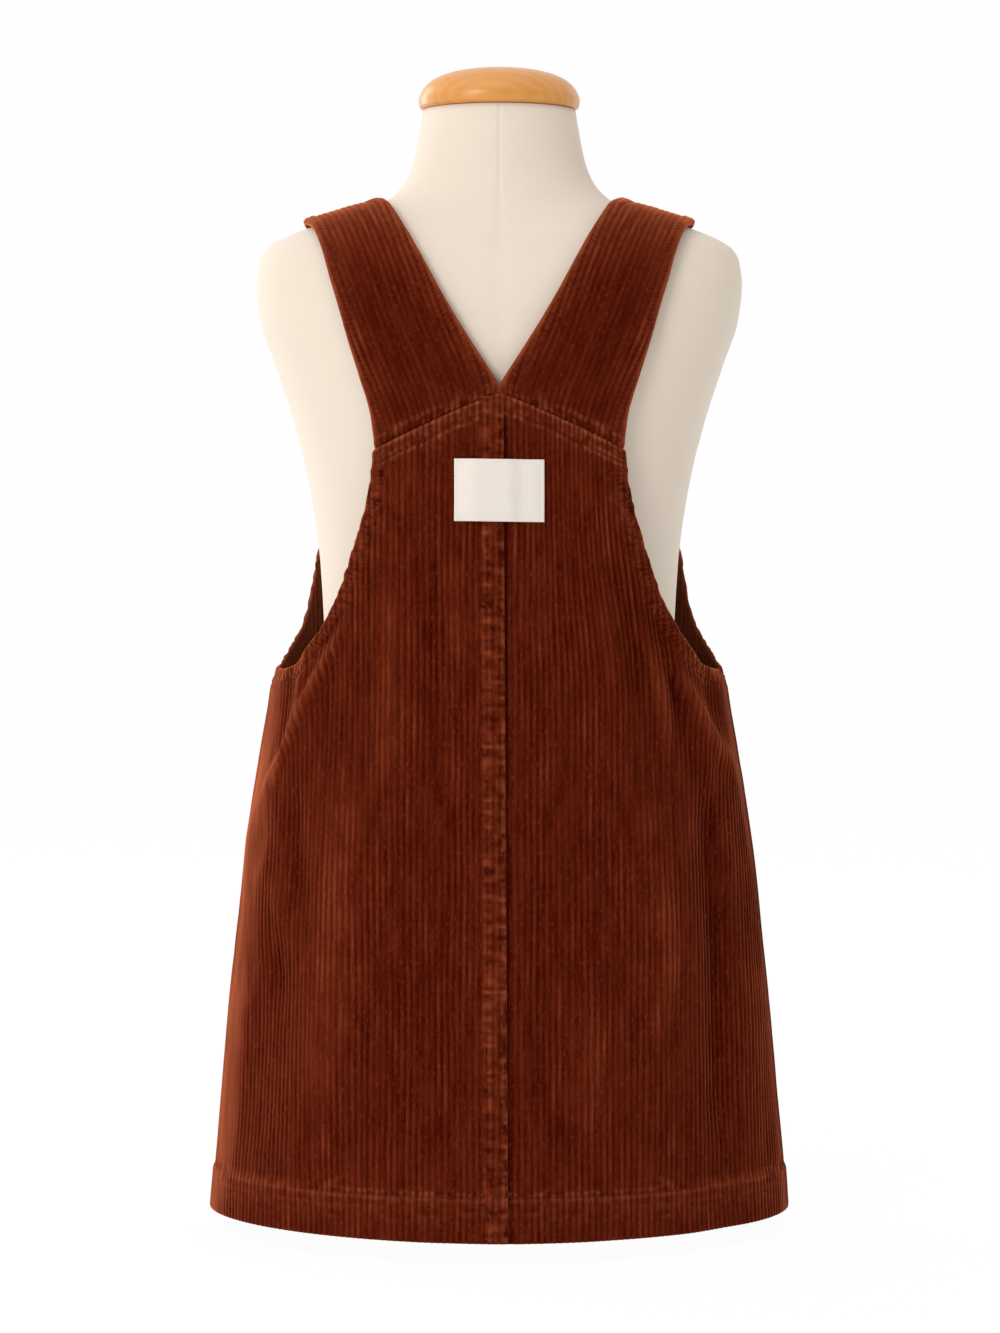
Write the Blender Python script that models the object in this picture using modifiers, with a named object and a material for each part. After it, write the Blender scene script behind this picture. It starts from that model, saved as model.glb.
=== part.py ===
"""Overall dress on a child's dress form.

Blender 4.5, metres, +Z up. The wearer faces -Y and the wearer's left is +X. The origin is the middle of the
flat base that the form stands on. The dress is a corduroy A-line pinafore: two back panels with a felled centre
seam, a front cut in one with its bib, and two straps that rise from a peaked back seam, lie over the form's
shoulders and button to the bib. Every piece of cloth is a wall on one garment surface, which a table of level
sections describes from the hem to the top of the shoulders.
"""

from collections import namedtuple
import math

import bpy
from mathutils import Vector
import numpy as np

COLLECTION = "Overall dress"

# Driving dimensions
CLOTH = 0.0018  # corduroy
STRAP_CLOTH = 0.0026  # two layers of corduroy
WELT_CLOTH = 0.0012  # the felled seam's upper layer
LABEL_CLOTH = 0.0008
SEAM = 0.0005  # gap between pieces that are sewn together
SIDE_SEAM = 0.0008  # the same between the outer sides of front and back, whose walls lean together
STRAP_SEAM = 0.0008  # the same between the back panels and the thicker straps
HEM = 0.010  # height of the hem above the surface that the form stands on
ARMHOLE = 0.2775  # top of the side seams
BACK_PEAK = 0.4124  # top of the back panels at the centre back
BACK_CORNER = 0.3850  # top of the back panels at the armholes
BACK_BOW = 0.92  # how the back's top seam falls away from its peak
BIB_TOP = 0.400
SHOULDER = (0.004, 0.440)  # Y and Z of the line that the straps turn about
SHOULDER_REACH = 0.12  # farther from that line than any of the garment's shoulder
STRAP_END = 0.372  # height of the straps' front ends
STRAP_END_ROUNDING = 0.006
STRAP_END_SQUARENESS = 5
STRAP_OVER_BIB = 0.0004  # gap between the bib and the strap on it
WELT_WIDTH = 0.012
WELT_DROP = 0.0018  # how far below the peak it ends
WELT_EDGE = (-0.0020, -0.0042)  # X of the felled seam's folded edge at the peak and at the hem
LABEL_SIZE = (0.043, 0.030)
LABEL_HEIGHT = 0.3655
LABEL_CREST = 0.0036  # X of the welt's middle under the label
LABEL_FLAT = 0.0015  # how far the label stays up past the welt on each side
LABEL_RAMP = 0.005  # width over which it then comes down to the panel
BUTTON_RADIUS = 0.009
BUTTON_THICKNESS = 0.0034
BUTTON_DISH = 0.0012
BUTTON_RIM = 0.0014
BUTTON_TURN = 215  # where the buttons sit on the straps, in degrees over the shoulder
NECK_TOP = 0.5572
CAP_BOTTOM = 0.5577

# Level sections: half_width is on X, and back and front are measured from centre, on Y
Section = namedtuple("Section", "height half_width centre back front squareness")
GARMENT = (
    Section(0.010, 0.1440, 0.0000, 0.1055, 0.1072, 1.85),
    Section(0.060, 0.1395, 0.0000, 0.1020, 0.1024, 1.87),
    Section(0.112, 0.1350, 0.0000, 0.0980, 0.0996, 1.90),
    Section(0.162, 0.1297, 0.0000, 0.0936, 0.0967, 1.93),
    Section(0.212, 0.1234, 0.0000, 0.0884, 0.0932, 1.97),
    Section(0.240, 0.1190, 0.0000, 0.0853, 0.0909, 2.00),
    Section(0.273, 0.1140, 0.0000, 0.0816, 0.0876, 2.05),
    Section(0.300, 0.1130, 0.0000, 0.0788, 0.0845, 2.10),
    Section(0.334, 0.1120, 0.0000, 0.0764, 0.0806, 2.15),
    Section(0.370, 0.1125, 0.0005, 0.0757, 0.0780, 2.20),
    Section(0.400, 0.1150, 0.0015, 0.0758, 0.0768, 2.25),
    Section(0.430, 0.1190, 0.0030, 0.0743, 0.0755, 2.30),
    Section(0.450, 0.1230, 0.0040, 0.0700, 0.0712, 2.30),
    Section(0.465, 0.1250, 0.0045, 0.0642, 0.0650, 2.30),
    Section(0.478, 0.1248, 0.0050, 0.0580, 0.0588, 2.25),
    Section(0.488, 0.1205, 0.0050, 0.0520, 0.0526, 2.20),
    Section(0.495, 0.1125, 0.0050, 0.0470, 0.0476, 2.15),
    Section(0.5010, 0.0975, 0.0045, 0.0435, 0.0441, 2.10),
    Section(0.5070, 0.0790, 0.0030, 0.0412, 0.0418, 2.10),
    Section(0.5130, 0.0615, 0.0010, 0.0400, 0.0406, 2.05),
    Section(0.5220, 0.0530, -0.0010, 0.0395, 0.0400, 2.00),
    Section(0.5400, 0.0480, -0.0020, 0.0385, 0.0390, 2.00),
)
FORM = (
    Section(0.000, 0.0860, 0.0000, 0.0520, 0.0520, 2.30),
    Section(0.006, 0.0940, 0.0000, 0.0640, 0.0640, 2.30),
    Section(0.018, 0.0980, 0.0000, 0.0720, 0.0720, 2.30),
    Section(0.040, 0.1000, -0.0010, 0.0770, 0.0770, 2.25),
    Section(0.085, 0.1020, -0.0010, 0.0800, 0.0800, 2.20),
    Section(0.130, 0.1025, -0.0010, 0.0820, 0.0820, 2.20),
    Section(0.180, 0.1000, -0.0020, 0.0810, 0.0810, 2.15),
    Section(0.230, 0.0935, -0.0060, 0.0765, 0.0765, 2.10),
    Section(0.285, 0.0875, -0.0070, 0.0710, 0.0710, 2.10),
    Section(0.330, 0.0895, -0.0050, 0.0690, 0.0690, 2.15),
    Section(0.370, 0.0950, -0.0020, 0.0700, 0.0700, 2.20),
    Section(0.400, 0.1023, 0.0000, 0.0710, 0.0710, 2.25),
    Section(0.430, 0.1120, 0.0020, 0.0690, 0.0690, 2.30),
    Section(0.451, 0.1190, 0.0030, 0.0640, 0.0640, 2.30),
    Section(0.469, 0.1210, 0.0040, 0.0570, 0.0570, 2.30),
    Section(0.481, 0.1195, 0.0045, 0.0500, 0.0500, 2.25),
    Section(0.487, 0.1160, 0.0050, 0.0455, 0.0455, 2.20),
    Section(0.492, 0.1080, 0.0050, 0.0420, 0.0420, 2.15),
    Section(0.4965, 0.0970, 0.0045, 0.0390, 0.0390, 2.10),
    Section(0.503, 0.0775, 0.0030, 0.0370, 0.0370, 2.10),
    Section(0.5085, 0.0610, 0.0010, 0.0365, 0.0365, 2.05),
    Section(0.514, 0.0525, 0.0000, 0.0360, 0.0360, 2.00),
    Section(0.522, 0.0465, -0.0020, 0.0355, 0.0355, 2.00),
    Section(0.532, 0.0428, -0.0030, 0.0350, 0.0350, 2.00),
    Section(0.545, 0.0402, -0.0040, 0.0345, 0.0345, 2.00),
    Section(NECK_TOP, 0.0382, -0.0050, 0.0335, 0.0335, 2.00),
)
NECK_CAP = (
    Section(CAP_BOTTOM, 0.0385, -0.0050, 0.0340, 0.0340, 2.00),
    Section(0.5590, 0.0400, -0.0050, 0.0355, 0.0355, 2.00),
    Section(0.5625, 0.0404, -0.0050, 0.0359, 0.0359, 2.00),
    Section(0.5665, 0.0390, -0.0050, 0.0345, 0.0345, 2.00),
    Section(0.5710, 0.0352, -0.0050, 0.0310, 0.0310, 2.00),
    Section(0.5742, 0.0296, -0.0050, 0.0260, 0.0260, 2.00),
    Section(0.5761, 0.0222, -0.0050, 0.0195, 0.0195, 2.00),
    Section(0.5770, 0.0120, -0.0050, 0.0105, 0.0105, 2.00),
)

# The armhole's edges, half_width being the edge's distance from the middle of the dress
Edge = namedtuple("Edge", "height half_width")
BACK_ARMHOLE = (
    Edge(0.2775, 0.1140),
    Edge(0.2790, 0.1060),
    Edge(0.2818, 0.1000),
    Edge(0.2872, 0.0956),
    Edge(0.2990, 0.0873),
    Edge(0.3166, 0.0781),
    Edge(0.3400, 0.0702),
    Edge(0.3630, 0.0638),
    Edge(BACK_CORNER, 0.0608),
)
FRONT_ARMHOLE = (
    Edge(0.2775, 0.1140),
    Edge(0.2795, 0.1114),
    Edge(0.2840, 0.1088),
    Edge(0.2910, 0.1050),
    Edge(0.2985, 0.1012),
    Edge(0.3120, 0.0975),
    Edge(0.3340, 0.0938),
    Edge(0.3550, 0.0900),
    Edge(0.3780, 0.0838),
    Edge(BIB_TOP, 0.0745),
)

# A strap's edges as it turns over the shoulder: 0 degrees is the back, 90 the top and 180 the front
StrapSection = namedtuple("StrapSection", "turn inner outer lift")
STRAP = (
    StrapSection(-42, -0.0200, 0.0598, 0.0000),
    StrapSection(-30, -0.0100, 0.0625, 0.0000),
    StrapSection(-18, 0.0000, 0.0674, 0.0000),
    StrapSection(-4, 0.0120, 0.0725, 0.0000),
    StrapSection(10, 0.0225, 0.0767, 0.0000),
    StrapSection(28, 0.0335, 0.0820, 0.0000),
    StrapSection(45, 0.0427, 0.0864, 0.0000),
    StrapSection(65, 0.0530, 0.0922, 0.0000),
    StrapSection(90, 0.0612, 0.0978, 0.0000),
    StrapSection(130, 0.0530, 0.0900, 0.0004),
    StrapSection(180, 0.0400, 0.0765, 0.0018),
    StrapSection(202, 0.0350, 0.0715, STRAP_CLOTH + STRAP_OVER_BIB),
    StrapSection(230, 0.0310, 0.0665, STRAP_CLOTH + STRAP_OVER_BIB),
)

# Soft folds of the skirt: angles are from the centre back, positive to the wearer's left
Fold = namedtuple("Fold", "top bottom angle_top angle_bottom half_angle depth")
FOLDS = (
    Fold(0.300, 0.195, 48, 76, 8, 0.0020),
    Fold(0.325, 0.230, 17, 15, 7, -0.0016),
    Fold(0.215, 0.050, 36, 40, 8, 0.0022),
    Fold(0.165, 0.070, 57, 60, 8, -0.0024),
    Fold(0.330, 0.240, -34, -41, 6, -0.0016),
    Fold(0.290, 0.190, -47, -60, 6, 0.0018),
    Fold(0.240, 0.030, -57, -52, 8, -0.0026),
    Fold(0.215, 0.050, -36, -33, 9, 0.0018),
    Fold(0.295, 0.180, 118, 104, 8, 0.0020),
    Fold(0.230, 0.030, 128, 132, 9, -0.0024),
    Fold(0.210, 0.040, 150, 152, 9, 0.0018),
    Fold(0.295, 0.170, -122, -106, 8, 0.0018),
    Fold(0.225, 0.040, -131, -127, 9, -0.0024),
    Fold(0.200, 0.035, -155, -158, 9, 0.0016),
)
FOLD_FADE = 0.040  # height over which a fold comes and goes

PANEL_COLUMNS = 16
SKIRT_ROWS = 11
ARMHOLE_ROWS = (0.2788, 0.2810, 0.2845, 0.2900, 0.2990, 0.3120, 0.3300, 0.3560)
WELT_ROWS = 20
STRAP_ROWS = 26
STRAP_COLUMNS = 7
WELT_COLUMNS = 4
LABEL_ROWS = 5
LABEL_COLUMNS = 9
FORM_SIDES = 32
CAP_SIDES = 32
BUTTON_SIDES = 20
SHARP = math.radians(50)

Finish = namedtuple("Finish", "colour roughness metallic")
CORDUROY = Finish((0.130, 0.030, 0.010), 0.90, 0.0)
TWILL = Finish((0.720, 0.680, 0.580), 0.85, 0.0)
BUTTON = Finish((0.100, 0.035, 0.015), 0.35, 0.0)
COVER = Finish((0.800, 0.720, 0.620), 0.85, 0.0)
WOOD = Finish((0.680, 0.330, 0.110), 0.30, 0.0)


def curve(at, rows, column, along):
    """The column at any place along the rows: a cubic through them that never overshoots."""
    places = np.array([getattr(row, along) for row in rows])
    values = np.array([getattr(row, column) for row in rows])
    steps = np.diff(places)
    slopes = np.diff(values) / steps
    before, after = slopes[:-1], slopes[1:]
    same_way = before * after > 0
    mean = np.where(same_way, 2 * before * after / np.where(same_way, before + after, 1), 0)
    tangents = np.concatenate(([slopes[0]], mean, [slopes[-1]]))
    at = np.clip(at, places[0], places[-1])
    i = np.clip(np.searchsorted(places, at, side="right") - 1, 0, len(steps) - 1)
    t = (at - places[i]) / steps[i]
    start, end = values[i], values[i + 1]
    leave, arrive = tangents[i] * steps[i], tangents[i + 1] * steps[i]
    bend = t * t * (3 - 2 * t)
    return start + (end - start) * bend + leave * t * (1 - t) ** 2 - arrive * t * t * (1 - t)


def level(height, rows):
    """The section at each height: half width, centre, back, front and squareness."""
    names = ("half_width", "centre", "back", "front", "squareness")
    return [curve(height, rows, name, "height") for name in names]


def fold_depth(angle, height):
    """How far the folds stand out, or in, at an angle from the centre back."""
    total = np.zeros(np.broadcast(angle, height).shape)
    for fold in FOLDS:
        share = np.clip((fold.top - height) / (fold.top - fold.bottom), 0, 1)
        middle = np.radians(fold.angle_top + (fold.angle_bottom - fold.angle_top) * share)
        rise = np.clip((height - fold.bottom + FOLD_FADE) / FOLD_FADE, 0, 1)
        fall = np.clip((fold.top - height) / FOLD_FADE, 0, 1)
        window = rise * rise * (3 - 2 * rise) * fall * fall * (3 - 2 * fall)
        total = total + fold.depth * window * np.exp(-(((angle - middle) / math.radians(fold.half_angle)) ** 2))
    return total


def around(angle, height, rows, out=0.0):
    """Points of a level superellipse at angles from the centre back, moved out along its normal."""
    half_width, centre, back, front, squareness = level(height, rows)
    side, rear = np.sin(angle), np.cos(angle)
    depth = np.where(rear >= 0, back, front)
    x = half_width * np.sign(side) * np.abs(side) ** (2 / squareness)
    y = depth * np.sign(rear) * np.abs(rear) ** (2 / squareness)
    normal_x = np.sign(side) * np.abs(side) ** (2 - 2 / squareness) / half_width
    normal_y = np.sign(rear) * np.abs(rear) ** (2 - 2 / squareness) / depth
    length = np.hypot(normal_x, normal_y)
    return np.stack([x + out * normal_x / length, centre + y + out * normal_y / length, height + 0 * x], axis=-1)


def garment(angle, height, out=0.0):
    """Points of the garment's outer surface, with its folds, moved out."""
    return around(angle, height, GARMENT, out + fold_depth(angle, height))


def angle_at(x, height):
    """The angle from the centre back at which the garment's section is x from the middle."""
    half_width, _, _, _, squareness = level(height, GARMENT)
    return np.sign(x) * np.arcsin(np.clip(np.abs(x) / half_width, 0, 1) ** (squareness / 2))


def zero_of(function, low, high):
    """Where a rising function passes zero, for arrays of places, by halving."""
    for _ in range(40):
        middle = (low + high) / 2
        above = function(middle) > 0
        low, high = np.where(above, low, middle), np.where(above, middle, high)
    return (low + high) / 2


def over_shoulder(x, turn, out):
    """Points of the garment surface, moved out, that rays from the shoulder line meet at an X and a turn."""
    angle = np.radians(turn)

    def point(reach):
        return SHOULDER[0] + reach * np.cos(angle), SHOULDER[1] + reach * np.sin(angle)

    def outside(reach):
        y, z = point(reach)
        half_width, centre, back, front, squareness = level(z, GARMENT)
        depth = np.where(y >= centre, back, front) + out
        return np.abs(x / (half_width + out)) ** squareness + np.abs((y - centre) / depth) ** squareness - 1

    nowhere = np.zeros(np.shape(x + angle + out))
    y, z = point(zero_of(outside, nowhere, nowhere + SHOULDER_REACH))
    return np.stack([x + 0 * y, y, z], axis=-1)


def add_material(name, finish):
    made = bpy.data.materials.new(name)
    made.use_nodes = True
    shader = made.node_tree.nodes["Principled BSDF"]
    shader.inputs["Base Color"].default_value = (*finish.colour, 1)
    shader.inputs["Roughness"].default_value = finish.roughness
    shader.inputs["Metallic"].default_value = finish.metallic
    return made


def add_object(name, points, edges, faces, finish):
    mesh = bpy.data.meshes.new(name)
    mesh.from_pydata([tuple(point) for point in points], edges, faces)
    mesh.materials.append(add_material(name, finish))
    mesh.shade_smooth()
    mesh.set_sharp_from_angle(angle=SHARP)
    made = bpy.data.objects.new(name, mesh)
    bpy.data.collections[COLLECTION].objects.link(made)
    return made


def grid_faces(rows, columns):
    """Quads of a lattice of points, facing out where its columns run clockwise seen from above."""
    return [
        (j * columns + i, (j + 1) * columns + i, (j + 1) * columns + i + 1, j * columns + i + 1)
        for j in range(rows - 1)
        for i in range(columns - 1)
    ]


def cloth(name, lattice, wall, finish):
    """A sheet through a lattice of outer points, with its wall inwards. Its columns run clockwise from above."""
    rows, columns = lattice.shape[:2]
    made = add_object(name, lattice.reshape(-1, 3), [], grid_faces(rows, columns), finish)
    solidify = made.modifiers.new("Wall", "SOLIDIFY")
    solidify.thickness = wall
    solidify.offset = -1
    solidify.use_even_offset = True
    return made


def half_panel(armhole, top_centre, top_corner, bow, middle_x):
    """Angles and heights of half a panel: out to its side seam and armhole, and up to its top edge."""
    edge = np.concatenate((np.linspace(HEM, ARMHOLE, SKIRT_ROWS + 1), ARMHOLE_ROWS, [top_corner]))
    rise = np.clip((edge - ARMHOLE) / (top_corner - ARMHOLE), 0, 1)
    middle = edge + rise * (top_centre - top_corner)
    armhole_edge = angle_at(curve(edge, armhole, "half_width", "height"), edge)
    _, _, depth, _, squareness = level(edge, GARMENT)
    side_seam = math.pi / 2 - (SIDE_SEAM / 2 / depth) ** (squareness / 2)
    last = np.where(edge <= ARMHOLE, side_seam, np.minimum(armhole_edge, side_seam))[:, None]
    share = np.linspace(0, 1, PANEL_COLUMNS)
    height = middle[:, None] + (edge - middle)[:, None] * share**bow
    first = angle_at(middle_x, height)
    return first + (last - first) * share, height


def make_back(name, side):
    """A back panel: side is 1 for the wearer's left and -1 for the right."""
    angle, height = half_panel(BACK_ARMHOLE, BACK_PEAK, BACK_CORNER, BACK_BOW, SEAM / 2)
    lattice = garment(side * angle, height)
    cloth(name, lattice[:, ::side], CLOTH, CORDUROY)


def make_front(name):
    """The front skirt and its bib, in one piece from side seam to side seam."""
    angle, height = half_panel(FRONT_ARMHOLE, BIB_TOP, BIB_TOP, 1, 0)
    left = garment(math.pi - angle, height)
    right = garment(angle - math.pi, height)
    cloth(name, np.concatenate((left[:, ::-1], right[:, 1:]), axis=1), CLOTH, CORDUROY)


def make_welt(name):
    """The upper layer of the felled centre back seam, lying on both back panels from hem to peak."""
    height = np.linspace(HEM + SEAM, BACK_PEAK - WELT_DROP, WELT_ROWS)[:, None]
    x = np.interp(height, (HEM, BACK_PEAK), WELT_EDGE[::-1]) + np.linspace(0, WELT_WIDTH, WELT_COLUMNS)
    height = height + 0 * x
    cloth(name, garment(angle_at(x, height), height, SEAM + WELT_CLOTH), WELT_CLOTH, CORDUROY)


def make_label(name):
    """The plain woven label, lying over the welt and on the back panels below their peak."""
    width, tall = LABEL_SIZE
    x = np.linspace(-width / 2, width / 2, LABEL_COLUMNS)
    height = LABEL_HEIGHT + np.linspace(-tall / 2, tall / 2, LABEL_ROWS)[:, None] + 0 * x
    from_welt = np.abs(x - LABEL_CREST) - WELT_WIDTH / 2 - LABEL_FLAT
    over_welt = 1 - np.clip(from_welt / LABEL_RAMP, 0, 1)
    out = SEAM + LABEL_CLOTH + (SEAM + WELT_CLOTH) * over_welt
    cloth(name, garment(angle_at(x, height), height, out), LABEL_CLOTH, TWILL)


def back_top(share):
    """Points of the back panels' top edge, from the peak (0) to the armhole (1)."""
    height = BACK_PEAK + (BACK_CORNER - BACK_PEAK) * share**BACK_BOW
    return garment(share * angle_at(BACK_ARMHOLE[-1].half_width, BACK_CORNER), height)


def back_seam(x):
    """Height of the back panels' top edge at a distance from the middle."""
    share = zero_of(lambda at: back_top(at)[..., 0] - x, 0 * x, 0 * x + 1.1)
    return back_top(share)[..., 2]


def strap_points(across, turn):
    """Points of the left strap's outer side, from its inner edge (0) to its outer (1), at each turn."""
    inner, outer, lift = (curve(turn, STRAP, name, "turn") for name in ("inner", "outer", "lift"))
    inner = np.maximum(inner, SEAM / 2)
    return over_shoulder(inner + (outer - inner) * across, turn, lift)


def make_strap(name, side):
    """A strap, from the back's top seam over the shoulder to its rounded end on the bib."""
    across = np.linspace(0, 1, STRAP_COLUMNS)

    def above_seam(turn):
        point = strap_points(across, turn)
        return point[:, 2] - back_seam(point[:, 0]) - STRAP_SEAM

    def below_end(turn):
        rounding = STRAP_END_ROUNDING * np.abs(2 * across - 1) ** STRAP_END_SQUARENESS
        return STRAP_END + rounding - strap_points(across, turn)[:, 2]

    back, top, front = (np.full(STRAP_COLUMNS, float(turn)) for turn in (STRAP[0].turn, 90, STRAP[-1].turn))
    first = zero_of(above_seam, back, top)
    last = zero_of(below_end, top, front)
    lattice = strap_points(across, first + (last - first) * np.linspace(0, 1, STRAP_ROWS)[:, None])
    lattice = lattice * (side, 1, 1)
    cloth(name, lattice[:, ::side], STRAP_CLOTH, CORDUROY)


def make_button(name, side):
    """A turned button with a raised rim, lying on the strap where it crosses the bib."""
    profile = (
        (0, BUTTON_THICKNESS - BUTTON_DISH),
        (BUTTON_RADIUS - 2.2 * BUTTON_RIM, BUTTON_THICKNESS - BUTTON_DISH),
        (BUTTON_RADIUS - 1.3 * BUTTON_RIM, BUTTON_THICKNESS),
        (BUTTON_RADIUS - 0.5 * BUTTON_RIM, BUTTON_THICKNESS),
        (BUTTON_RADIUS, BUTTON_THICKNESS - 0.6 * BUTTON_RIM),
        (BUTTON_RADIUS - BUTTON_RIM, 0),
        (0, 0),
    )
    edges = [(i, i + 1) for i in range(len(profile) - 1)]
    made = add_object(name, [(radius, 0, height) for radius, height in profile], edges, [], BUTTON)
    screw = made.modifiers.new("Turned", "SCREW")
    screw.steps = screw.render_steps = BUTTON_SIDES
    screw.use_merge_vertices = True
    screw.merge_threshold = 0.00001
    middle, along, beside = strap_points(np.array((0.5, 0.5, 0.6)), np.array((0.0, 1.0, 0.0)) + BUTTON_TURN)
    normal = Vector(np.cross(along - middle, beside - middle)).normalized()
    normal.x *= side
    made.rotation_mode = "QUATERNION"
    made.rotation_quaternion = normal.to_track_quat("Z", "Y")
    made.location = Vector(middle * (side, 1, 1)) + SEAM * normal


def make_loft(name, rows, sides, finish):
    """A closed solid through level sections, with flat ends."""
    angle = np.linspace(0, 2 * math.pi, sides, endpoint=False)
    points = np.concatenate([around(angle, row.height, rows) for row in rows])
    walls = [
        (j * sides + i, (j + 1) * sides + i, (j + 1) * sides + (i + 1) % sides, j * sides + (i + 1) % sides)
        for j in range(len(rows) - 1)
        for i in range(sides)
    ]
    bottom = tuple(range(sides))
    top = tuple(reversed(range((len(rows) - 1) * sides, len(rows) * sides)))
    add_object(name, points, [], walls + [bottom, top], finish)


for old in list(bpy.data.objects):
    bpy.data.objects.remove(old)
bpy.context.scene.collection.children.link(bpy.data.collections.new(COLLECTION))

make_loft("form_torso", FORM, FORM_SIDES, COVER)
make_loft("neck_cap", NECK_CAP, CAP_SIDES, WOOD)
make_front("front")
make_welt("centre_back_welt")
make_label("back_label")
for which, wearers_side in (("left", 1), ("right", -1)):
    make_back(f"back_{which}", wearers_side)
    make_strap(f"strap_{which}", wearers_side)
    make_button(f"button_{which}", wearers_side)
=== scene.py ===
import math

import bpy
import numpy as np
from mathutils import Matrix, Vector


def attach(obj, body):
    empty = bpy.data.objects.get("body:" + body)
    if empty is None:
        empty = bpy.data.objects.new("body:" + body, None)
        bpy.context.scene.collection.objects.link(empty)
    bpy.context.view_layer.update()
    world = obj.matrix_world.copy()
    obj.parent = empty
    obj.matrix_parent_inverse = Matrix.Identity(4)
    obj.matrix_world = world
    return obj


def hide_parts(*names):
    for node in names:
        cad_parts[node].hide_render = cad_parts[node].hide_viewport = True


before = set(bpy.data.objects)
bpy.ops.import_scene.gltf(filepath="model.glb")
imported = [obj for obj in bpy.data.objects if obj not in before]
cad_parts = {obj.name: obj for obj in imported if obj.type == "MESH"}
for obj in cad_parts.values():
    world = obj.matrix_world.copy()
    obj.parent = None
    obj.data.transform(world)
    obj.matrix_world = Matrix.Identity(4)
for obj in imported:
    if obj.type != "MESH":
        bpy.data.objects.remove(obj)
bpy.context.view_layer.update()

# Everything is in metres, +Z up. The dress's back faces +Y, its bib -Y, and the wearer's left is +X.


def table(columns, *rows):
    # a short table as a dictionary of arrays, one per named column
    return dict(zip(columns.split(), np.array(rows, float).T))


def curveAt(at, places, values):
    # cubic through the values, with the harmonic means of the chords' slopes, so that it never overshoots
    steps = np.diff(places)
    slopes = np.diff(values) / steps
    before, after = slopes[:-1], slopes[1:]
    sameWay = before * after > 0
    mean = np.where(sameWay, 2 * before * after / np.where(sameWay, before + after, 1), 0)
    tangents = np.concatenate(([slopes[0]], mean, [slopes[-1]]))
    at = np.clip(at, places[0], places[-1])
    i = np.clip(np.searchsorted(places, at, side="right") - 1, 0, len(steps) - 1)
    t = (at - places[i]) / steps[i]
    leave, arrive = tangents[i] * steps[i], tangents[i + 1] * steps[i]
    start, end = values[i], values[i + 1]
    return start + (end - start) * t * t * (3 - 2 * t) + leave * t * (1 - t) ** 2 - arrive * t * t * (1 - t)


def rowAt(rows, at, *names):
    # values between the rows of a table, read by its first column: the named columns, or all the others
    first, *others = rows
    return [curveAt(at, rows[first], rows[name]) for name in names or others]


def smoothStep(low, high, x):
    # 0 up to low and 1 from high on; between them 3 t squared less 2 t cubed, t being the share of the way
    t = np.clip((x - low) / (high - low), 0, 1)
    return t * t * (3 - 2 * t)


def ramp(x, start, change, low, high):
    # a start up to low, and changed by a smooth step from there to high
    return start + change * smoothStep(low, high, x)


def bell(x, half, power=2):
    # 1 at 0 and falling on both sides: e to the power of minus (x / half) to a power
    return np.exp(-((x / half) ** power))


def fading(away, reach):
    # 1 at an edge, falling by a factor of e for each reach away from it
    return np.exp(-away / reach)


def lineAt(away, strength, place, half):
    # a soft line with a strength, a place and a half width: the strength times a bell about the place
    return strength * bell(away - place, half)


def softNoise(a, b, seed):
    # value noise: random numbers on a lattice of unit cells, blended by smooth steps, from -1 to 1
    values = np.random.default_rng(seed).uniform(-1, 1, (64, 64))
    a, b = np.broadcast_arrays(a, b)
    i, j = np.floor(a).astype(int), np.floor(b).astype(int)
    s, t = a - i, b - j
    s, t = s * s * (3 - 2 * s), t * t * (3 - 2 * t)
    low = values[i % 64, j % 64] * (1 - s) + values[(i + 1) % 64, j % 64] * s
    high = values[i % 64, (j + 1) % 64] * (1 - s) + values[(i + 1) % 64, (j + 1) % 64] * s
    return low * (1 - t) + high * t


def layeredNoise(a, b, seed, layers):
    # soft noises added up, a row for each: its strength, its lengths along a and b, and what its seed adds
    return sum(part * softNoise(a / longA, b / longB, seed + more) for part, longA, longB, more in layers)


def rootOf(function, low, high):
    # where a rising function passes zero, for whole arrays, by halving
    for _ in range(36):
        middle = (low + high) / 2
        above = function(middle) > 0
        low, high = np.where(above, low, middle), np.where(above, middle, high)
    return (low + high) / 2


def unit(v):
    # vectors divided by their lengths
    return v / np.maximum(np.linalg.norm(v, axis=-1, keepdims=True), 1e-12)


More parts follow.
